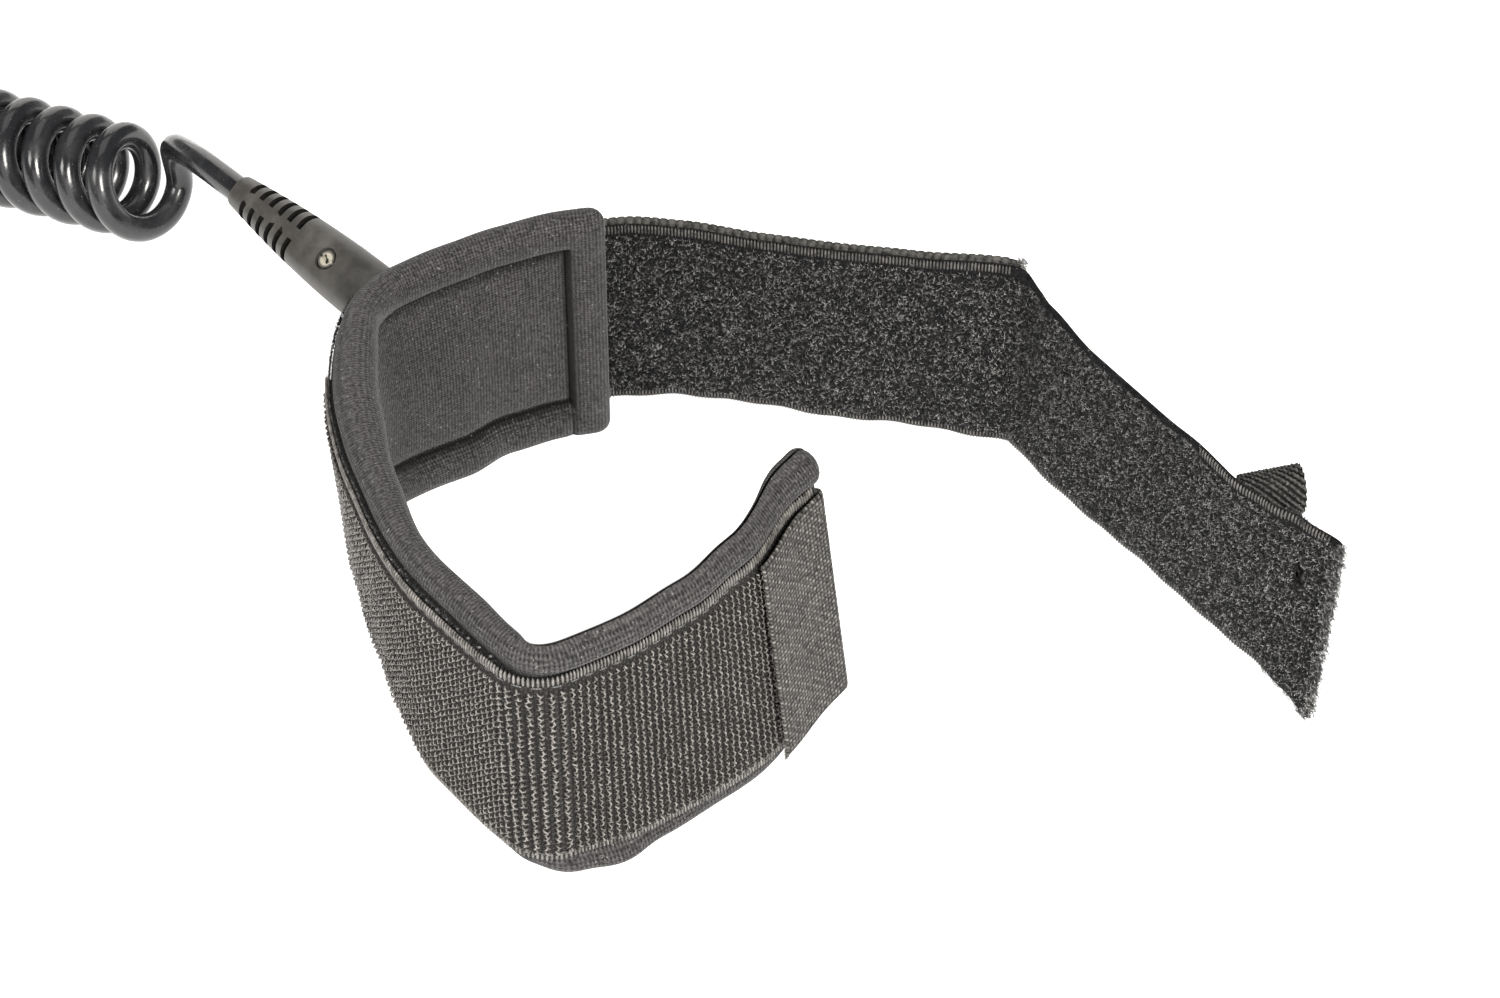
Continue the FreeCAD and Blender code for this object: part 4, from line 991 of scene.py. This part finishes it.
count = 90
tab_free = ring_long + TAB_LENGTH
corner = tab_free + chance.normal(0, 0.25, count), 4.5 + np.abs(chance.normal(0, 1.6, count))
along_edge = tab_free + chance.normal(0, 0.15, count), chance.uniform(TAPE_FOOT, TAPE_HEAD, count)
tab_fray = fibres("tab_fray", chance, (*np.concatenate([corner, along_edge], 1), 0),
                  1.5, 0.07, 0.3, 0.6, hook_nylon, on_tab)
across_tab(tab_fray)


# Closing strap. Loop tape whose fuzzy face looks inwards. Its start is sewn on the
# outside of the back panel; it is creased once and droops a little to its tip.
SEWN_MIDDLE = -1.5
SEWN_LENGTH = 27
CREASE = 86
TIP = 178.7
STRAP_LOW = 4.6
STRAP_TOP = 54.3
strap_root = cuff_wall.point(0, SEWN_MIDDLE, MIDDLE) / MM
strap_wall = Wall(strap_root.x, strap_root.y, cuff_wall.heading(0) - 180, [
    (12, -15), (14, -5), (30, 1), (28.5, -4), (3, -40.5), (30, 1), (30, -1), (31.2, 1)], [
        (3, 0, 0), (16, 1.4, -0.7), (32, 1, -1.9), (48, 0.2, -2.2), (64, 0.4, -1.8), (82, 0, 0),
        (89, -0.5, -0.5), (97, -1, -3.4), (112, -0.5, -5), (136, 0.7, -4.8), (152, 1, -4.4),
        (162, 1.8, -2.8), (170, 1.4, -0.4), (178, 0, 1.2)])
crease_middle = np.array(strap_wall.point(CREASE, 0, MIDDLE))
droop_axis = level(strap_wall.heading(CREASE + 20) + 90)
DROOP = radians(2.6)


def drooped(points, share):
    """Turn points down about the crease, by a share of the droop."""
    turn = np.array(Matrix.Rotation(DROOP, 3, droop_axis))
    turned = (points - crease_middle) @ turn.T + crease_middle
    return points + (turned - points) * share[:, None]


def on_strap(flat):
    """Bend flat work along the strap. Negative places lie on the cuff's sewn end."""
    x, y, z = flat.T
    # Beside the backing the tape sits a little lower, and it dips past the crease.
    top = STRAP_TOP - 1.2 * smooth(x, CREASE + 2, CREASE - 4) - 2.4 * bump(x, CREASE + 4, 3.5)
    top += 0.9 * bump(x, 143, 6) - 0.5 * bump(x, 157, 4)
    height = np.where(z < 1.04, STRAP_LOW + (y - TAPE_FOOT) * (top - STRAP_LOW) / TAPE_WIDE, y)
    height += (0.25 * np.sin(x * 0.55) + 0.2 * np.sin(x * 0.21 + 1)) * ramp(y, TAPE_FOOT + 12, TAPE_FOOT)
    lean = (-0.3 + 0.6 * (height - TAPE_FOOT) / TAPE_WIDE) * ramp(x, 6, 0)
    free = strap_wall.place(x, z - lean, height)
    sewn = cuff_wall.place(-x, SEWN_MIDDLE - z, height)
    points = np.where((x < 0)[:, None], sewn, free)
    return drooped(points, smooth(x, CREASE - 2, CREASE + 2)), flat[:, :2]


TIP_SLANT = -0.8
TIP_ROUND = 3.6
TIP_ZONE = 12


def tip_shaped(x, up):
    """Draw places along the strap in to the slanted, rounded tip."""
    share = ramp(x, TIP - TIP_ZONE, TIP)
    end = -TIP_SLANT * (1 - up / TAPE_WIDE) + 0.25 * np.sin(up * 1.7) + 0.2 * np.sin(up * 3.1)
    inside = np.clip(TIP_ROUND - up, 0, TIP_ROUND)
    end = end - TIP_ROUND + np.sqrt(TIP_ROUND ** 2 - inside ** 2)
    return x + share * end


loop_black, shader, place = finish_of("loop_black", 0.95, specular=0.1, sheen=0.03)
fuzz = noise(place, 0.00045, 4, 0.75)
dusted(place, shader, fuzz, (0.0015, 0.0015, 0.0018), (0.017, 0.017, 0.018))
raised(shader, fuzz, 0.0005, 0.9)

SPLIT = 44
SLIT = (TIP - 8, 38.6, 42.6)
TAPE_BACK = 0.7
inner_flat = thickened(strip(-SEWN_LENGTH, SPLIT + 2, 5.05, 54.95, 1.5, 2), TAPE_BACK - 0.04, -0.46)
inner_tape = piece("strap_tape_inner", inner_flat, loop_black, on_strap)
finer(inner_tape)
outer_flat = strip(SPLIT, TIP, TAPE_FOOT, TAPE_HEAD, 1.2, 1.9)
middles = {face: face.calc_center_median() for face in outer_flat.faces}
slit = [face for face, at in middles.items() if abs(at.x - SLIT[0]) < 1.2 and SLIT[1] < at.y < SLIT[2]]
bmesh.ops.delete(outer_flat, geom=slit, context="FACES")
for vert in outer_flat.verts:
    vert.co.x = float(tip_shaped(vert.co.x, vert.co.y - TAPE_FOOT))
outer_tape = piece("strap_tape_outer", thickened(outer_flat, TAPE_BACK, -0.5), loop_black, on_strap)
finer(outer_tape)


def across_root(item):
    """Bake a piece's place into its mesh. The strap's root is worked out, but nothing is bent."""
    root = strap_wall.point(1.5, 2.2, MIDDLE)
    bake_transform(item)


def across_crease(item):
    """Bake a piece's place into its mesh. The strap's crease is worked out, but nothing is bent."""
    crease = strap_wall.point(CREASE, 2.2, MIDDLE)
    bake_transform(item)


across_root(inner_tape)
across_crease(outer_tape)
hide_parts("strap_sewn_end", "loop_tape_inner")
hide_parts("loop_tape_outer")

strap_rib_finish = mottled("strap_rib_threads", 0.6, 0.0009, grey(0.006), (0.15, 0.143, 0.135),
                           3, 0.7, 0.3, 0.7, specular=0.3)
STRAP_EDGE = 2.4
STRAP_RIB = (0.5, STRAP_EDGE + 0.2, 0.7)
inner_ribs = round((SPLIT - 0.5) / RIB_PITCH)
split_rib = 0.5 + inner_ribs * RIB_PITCH
for name, begin, count, lay in (("inner", 0.5, inner_ribs, across_root),
                                ("outer", split_rib, int((TIP - 12 - split_rib) / RIB_PITCH), across_crease)):
    edges = plump_row(begin, count, RIB_PITCH, (TAPE_FOOT + STRAP_EDGE / 2, -0.3), STRAP_RIB)
    for low, high in ((begin, begin + count * RIB_PITCH),) if name == "inner" else (
            (begin, CREASE - 2), (TIP - 34, TIP - 2)):
        added(edges, plump_row(low, int((high - low) / RIB_PITCH), RIB_PITCH,
                               (TAPE_HEAD - STRAP_EDGE / 2, -0.3), STRAP_RIB))
    strap_edges = piece("strap_edges_" + name, edges, strap_rib_finish, on_strap)
    lay(strap_edges)


# Pile. The brushed loops of the strap's face: short curled threads, which lie in
# every direction, denser than the eye can part.
PILE_PER_MM2 = 6
PILE_EDGE = 2.5
pile_finish = thread_finish("pile", (0.004, 0.004, 0.0045), (0.6, 0.6, 0.59), 0.45, 0.4)


def pile(name, begin, end, seed):
    """Pile over a stretch of the strap."""
    chance = np.random.default_rng(seed)
    count = int((end - begin) * (TAPE_WIDE - 2 * PILE_EDGE) * PILE_PER_MM2)
    x = chance.uniform(begin, end, count)
    edge = PILE_EDGE * np.where((x > CREASE + 2) & (x < TIP - 34) | (x > TIP - 5), 0.3, 1)
    y = chance.uniform(TAPE_FOOT + np.where(x > TIP - 14, 0.5, PILE_EDGE), TAPE_HEAD - edge)
    bare = (np.abs(x - SLIT[0]) < 1.4) & (y > SLIT[1] - 0.5) & (y < SLIT[2] + 0.5)
    x, y = x[~bare], y[~bare]
    clumps = np.sin(x * 0.9 + 2 * np.sin(y * 0.37)) * np.sin(y * 0.8 + x * 0.13)
    item = fibres(name, chance, (tip_shaped(x, y - TAPE_FOOT), y, -0.45), 1.15, 0.066, 0.75, 0.6,
                  pile_finish, on_strap, 1 + 0.2 * clumps, 4)
    return item


pile_parts = [pile("strap_pile_inner", 0.3, SPLIT * 2, 3), pile("strap_pile_outer", SPLIT * 2, TIP - 0.2, 8)]
across_root(pile_parts[0])
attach(pile_parts[1], "strap_outer")

chance = np.random.default_rng(21)
count = 4200
y = chance.uniform(5.3, 54.5, count)
x = tip_shaped(TIP, y - TAPE_FOOT) + chance.normal(-0.2, 0.7, count)
tip_fuzz = fibres("strap_tip_fuzz", chance, (x, y, chance.uniform(-0.6, 0.5, count)),
                  2.2, 0.07, 0.4, 0.8, pile_finish, on_strap, power=4.5)
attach(tip_fuzz, "strap_outer")


# Backing. Twill webbing sewn on the back of the strap's first stretch. Its corded
# upper edge stands above the loop tape, and its cut end is frayed at the crease.
BACKING_START = -7
BACKING_TOP = 53.2
backing_twill = woven("backing_twill", 0.0011, 1.0, grey(0.006), (0.11, 0.105, 0.1), 0.0003)
backing_flat = thickened(strip(BACKING_START, CREASE - 1, 6.6, BACKING_TOP, 1.5, 2), 2.1, 1.1)
backing = piece("strap_backing", backing_flat, backing_twill, on_strap)
across_root(backing)
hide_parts("backing_webbing")
cord_edge_finish = mottled("corded_edge", 0.6, 0.0008, (0.004, 0.004, 0.0035), (0.085, 0.082, 0.075),
                           3, 0.7, 0.32, 0.68, specular=0.3)
strands = plump_row(BACKING_START + 0.5, int((CREASE - 1.5 - BACKING_START) / 1.7), 1.7,
                    (BACKING_TOP - 0.2, 1.5), (2.5, 1.5, 1.6), 18)
cord_edge = piece("strap_backing_edge", strands, cord_edge_finish, on_strap)
across_root(cord_edge)
count = 320
backing_fray = fibres("strap_backing_fray", chance, (
    CREASE - 0.9 + chance.normal(0, 0.3, count),
    BACKING_TOP + 0.8 - np.abs(chance.normal(0, 9, count)).clip(0, 46), chance.uniform(1.1, 2.1, count)),
    1.7, 0.09, -0.2, 0.7, pile_finish, on_strap, 0.7)
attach(backing_fray, "strap_inner")
backing_seam = stitch_rows(6, CREASE - 5, (9.6, 50), 2.15, 2.9, 2.2, 0.42)
backing_stitches = piece("backing_seam", backing_seam, thread_grey, on_strap)
across_root(backing_stitches)
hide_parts("backing_stitches")


# Pull loop. Chunky twill webbing folded into an eye and tacked behind the tip. Its
# legs twist, so that the eye looks to the right.
PULL_HINGE = Vector((102.384, -29.804, 30))
PULL_EYE = Vector((99.9, -20.4, 41.5))
PULL_HEADING = 8
PULL_WIDTH = 12.2
PULL_THICK = 1.2
PULL_RADIUS = 4.1
PULL_FOOT = -11.5
PULL_NECK = -4.2


def arc(centre, radius, angles):
    """Points of an arc at some angles in degrees."""
    return [(centre + radius * cos(radians(angle)), radius * sin(radians(angle))) for angle in angles]


pull_path = [(-0.65, PULL_FOOT), (-0.65, PULL_NECK), *arc(0, PULL_RADIUS, range(260, -81, -20)),
             (0.65, PULL_NECK), (0.65, PULL_FOOT)]


def along_path(path, run):
    """Places and left-hand normals at distances along an open path in a plane."""
    path = np.array(path)
    steps = np.hypot(*np.diff(path, axis=0).T)
    reached = np.concatenate([[0], np.cumsum(steps)])

    def at(place):
        return np.stack([np.interp(place, reached, line) for line in path.T], -1)

    way = at(run + 0.3) - at(run - 0.3)
    way /= np.maximum(np.linalg.norm(way, axis=1), 1e-9)[:, None]
    return at(run), np.stack([-way[:, 1], way[:, 0]], -1), reached[-1]


def on_pull(flat):
    """Bend flat webbing up one leg, round the eye and down the other."""
    x, y, z = flat.T
    middle, normal, _ = along_path(pull_path, x)
    across, up = (middle + normal * z[:, None]).T
    share = ramp(up, PULL_FOOT, PULL_NECK)
    foot_heading = strap_wall.heading(TIP - 15)
    heading = np.radians(foot_heading + (PULL_HEADING - foot_heading) * share)
    # The eye narrows towards its hidden end.
    narrow = 1 - 0.22 * ramp(y, PULL_WIDTH / 2, -PULL_WIDTH / 2) * (up > -4.5)
    centre = np.array(PULL_HINGE) + (np.array(PULL_EYE) - np.array(PULL_HINGE)) * share[:, None]
    centre[:, 2] = PULL_EYE.z
    points = centre + np.stack([-np.sin(heading) * across * narrow + np.cos(heading) * y,
                                np.cos(heading) * across * narrow + np.sin(heading) * y, up * narrow], -1)
    return points * MM, flat[:, :2]


TWILL_PITCH = 1.5
TWILL_SLOPE = 0.9
pull_long = along_path(pull_path, np.zeros(1))[2]
pull_flat = strip(0, pull_long, -PULL_WIDTH / 2, PULL_WIDTH / 2, 0.24, 0.3)
pull_flat = thickened(pull_flat, -PULL_THICK / 2, PULL_THICK / 2)
for vert in pull_flat.verts:
    wave = sin(2 * pi * (vert.co.x + TWILL_SLOPE * vert.co.y) / TWILL_PITCH)
    beads = sin(2 * pi * (TWILL_SLOPE * vert.co.x - vert.co.y) / 1.3)
    vert.co.z += copysign(1, vert.co.z) * (0.3 * wave + 0.16 * beads)
pull_twill, shader, place = finish_of("pull_twill", 0.6, specular=0.15)
x, y = axes(cloth_place(place))
ridge = calculate("SINE", (y * TWILL_SLOPE + x) * (2 * pi / (TWILL_PITCH * MM)))
# The twill's valleys are darker than its ridges, as painted shade.
dusted(place, shader, spread(ridge, -0.4, 1), grey(0.0008), (0.085, 0.083, 0.08), grain=0.0004)
pull_loop = piece("pull_webbing", pull_flat, pull_twill, on_pull)
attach(pull_loop, "pull")
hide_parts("pull_loop")

chance = np.random.default_rng(33)
count = 26
loose_threads = fibres("tip_loose_threads", chance, (
    chance.uniform(TIP - 10.5, TIP - 5, count), chance.uniform(54.2, 55.2, count),
    chance.uniform(0.2, 1.2, count)), 3.6, 0.09, 1.2, 1.6, pile_finish, on_strap, 0.12)
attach(loose_threads, "strap_outer")

tack = stitch_rows(TIP - 21.5, TIP - 9.5, [22.2 + number * 0.55 for number in range(9)], 1.55, 3.2, 3.0, 0.5)
bar_tack = piece("bar_tack", tack, thread_grey, on_strap)
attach(bar_tack, "strap_outer")
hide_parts("pull_loop_bar_tack")


# Anchor. Webbing sewn on the outside of the back panel, whose neck twists as it
# runs into the mouth of the near cord end and is held there by the screw.
ANCHOR_STATION = 35.4
ANCHOR_HALF = 6
HORN_LEVEL = 30
NECK_RUN = 9.65
HORN_GAP = 7.65
TONGUE_DEPTH = 19.5
HORN_ROLL = 33
anchor_web = woven("anchor_web", 0.0008, 0.0, grey(0.006), (0.05, 0.048, 0.045), 0.00015)
patch = piece("anchor_patch", thickened(
    strip(ANCHOR_STATION - ANCHOR_HALF, ANCHOR_STATION + ANCHOR_HALF, 19, 41, 1.5, 1.5), -1.52, -2.72),
    anchor_web, on_cuff)
finer(patch)
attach(patch, "cuff")

neck_root = cuff_wall.point(ANCHOR_STATION, -2.72, HORN_LEVEL) / MM
neck_long = NECK_RUN + HORN_GAP + TONGUE_DEPTH


def on_neck(flat):
    """Lay flat webbing from the pad into the horn, with its twist."""
    x, y, z = flat.T
    share = ramp(x, 1, NECK_RUN + HORN_GAP - 1)
    roll = np.radians(HORN_ROLL) * smooth(share, 0, 1)
    narrow = 1 - 0.17 * share
    side = np.array(level(HORN_HEADING + 90))
    across = y * narrow
    points = (np.array(neck_root) - np.outer(x, np.array(AIM))
              + np.outer(across * np.cos(roll) - z * np.sin(roll), side)
              + np.outer(across * np.sin(roll) + z * np.cos(roll), np.array(UP)))
    return points * MM, flat[:, :2]


neck = piece("anchor_neck", thickened(strip(-1.5, neck_long, -6, 6, 0.9, 1.5), -1, 1), anchor_web, on_neck)
finer(neck)
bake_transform(neck)
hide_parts("near_tongue", "anchor_webbing")
anchor_seam = stitch_rows(ANCHOR_STATION - 5.4, ANCHOR_STATION + 5.6, (21, 39), -2.8, 2.8, 2.2, 0.42)
anchor_stitches = piece("anchor_seam", anchor_seam, thread_grey, on_cuff)
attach(anchor_stitches, "cuff")
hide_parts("anchor_stitches")


# Far loop. Webbing that leaves the far cord end in two layers and opens into a
# long eye, stitched across its neck. It lies outside the picture.
HORN_LENGTH = 48
EYE_END = 75.8
EYE_RADIUS = 3.7
eye_leg = [(28.5, 0.5), (51, 0.5), (53.5, 1.2), (56, 2.9), (58.5, EYE_RADIUS)]
eye_path = [*eye_leg, (EYE_END, EYE_RADIUS), *arc(EYE_END, EYE_RADIUS, range(75, -76, -15)),
            (EYE_END, -EYE_RADIUS), *((x, -y) for x, y in reversed(eye_leg))]


def on_far_eye(flat):
    """Bend flat webbing out of the far horn, round the eye and back."""
    x, y, z = flat.T
    middle, normal, _ = along_path(eye_path, x)
    along, up = (middle + normal * z[:, None]).T
    points = np.array(FAR_START) + np.stack([-along, -y, up], -1)
    return points * MM, flat[:, :2]


eye_long = along_path(eye_path, np.zeros(1))[2]
far_flat = thickened(strip(0, eye_long, -5, 5, 1, 1.25), -0.45, 0.45)
far_eye = piece("far_loop", far_flat, anchor_web, on_far_eye)
finer(far_eye)
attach(far_eye, "cord")
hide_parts("far_webbing_loop")


def on_far_horn(flat):
    """Place flat work on top of the far loop's neck, across it."""
    x, y, z = flat.T
    return (np.array(FAR_START) + np.stack([-(HORN_LENGTH + y), -x, z], -1)) * MM, flat[:, :2]


far_seam = stitch_rows(-4.5, 4.5, (2, 4), 1.15, 3, 2.4, 0.42)
far_stitches = piece("far_seam", far_seam, thread_grey, on_far_horn)
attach(far_stitches, "cord")
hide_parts("far_loop_stitches")
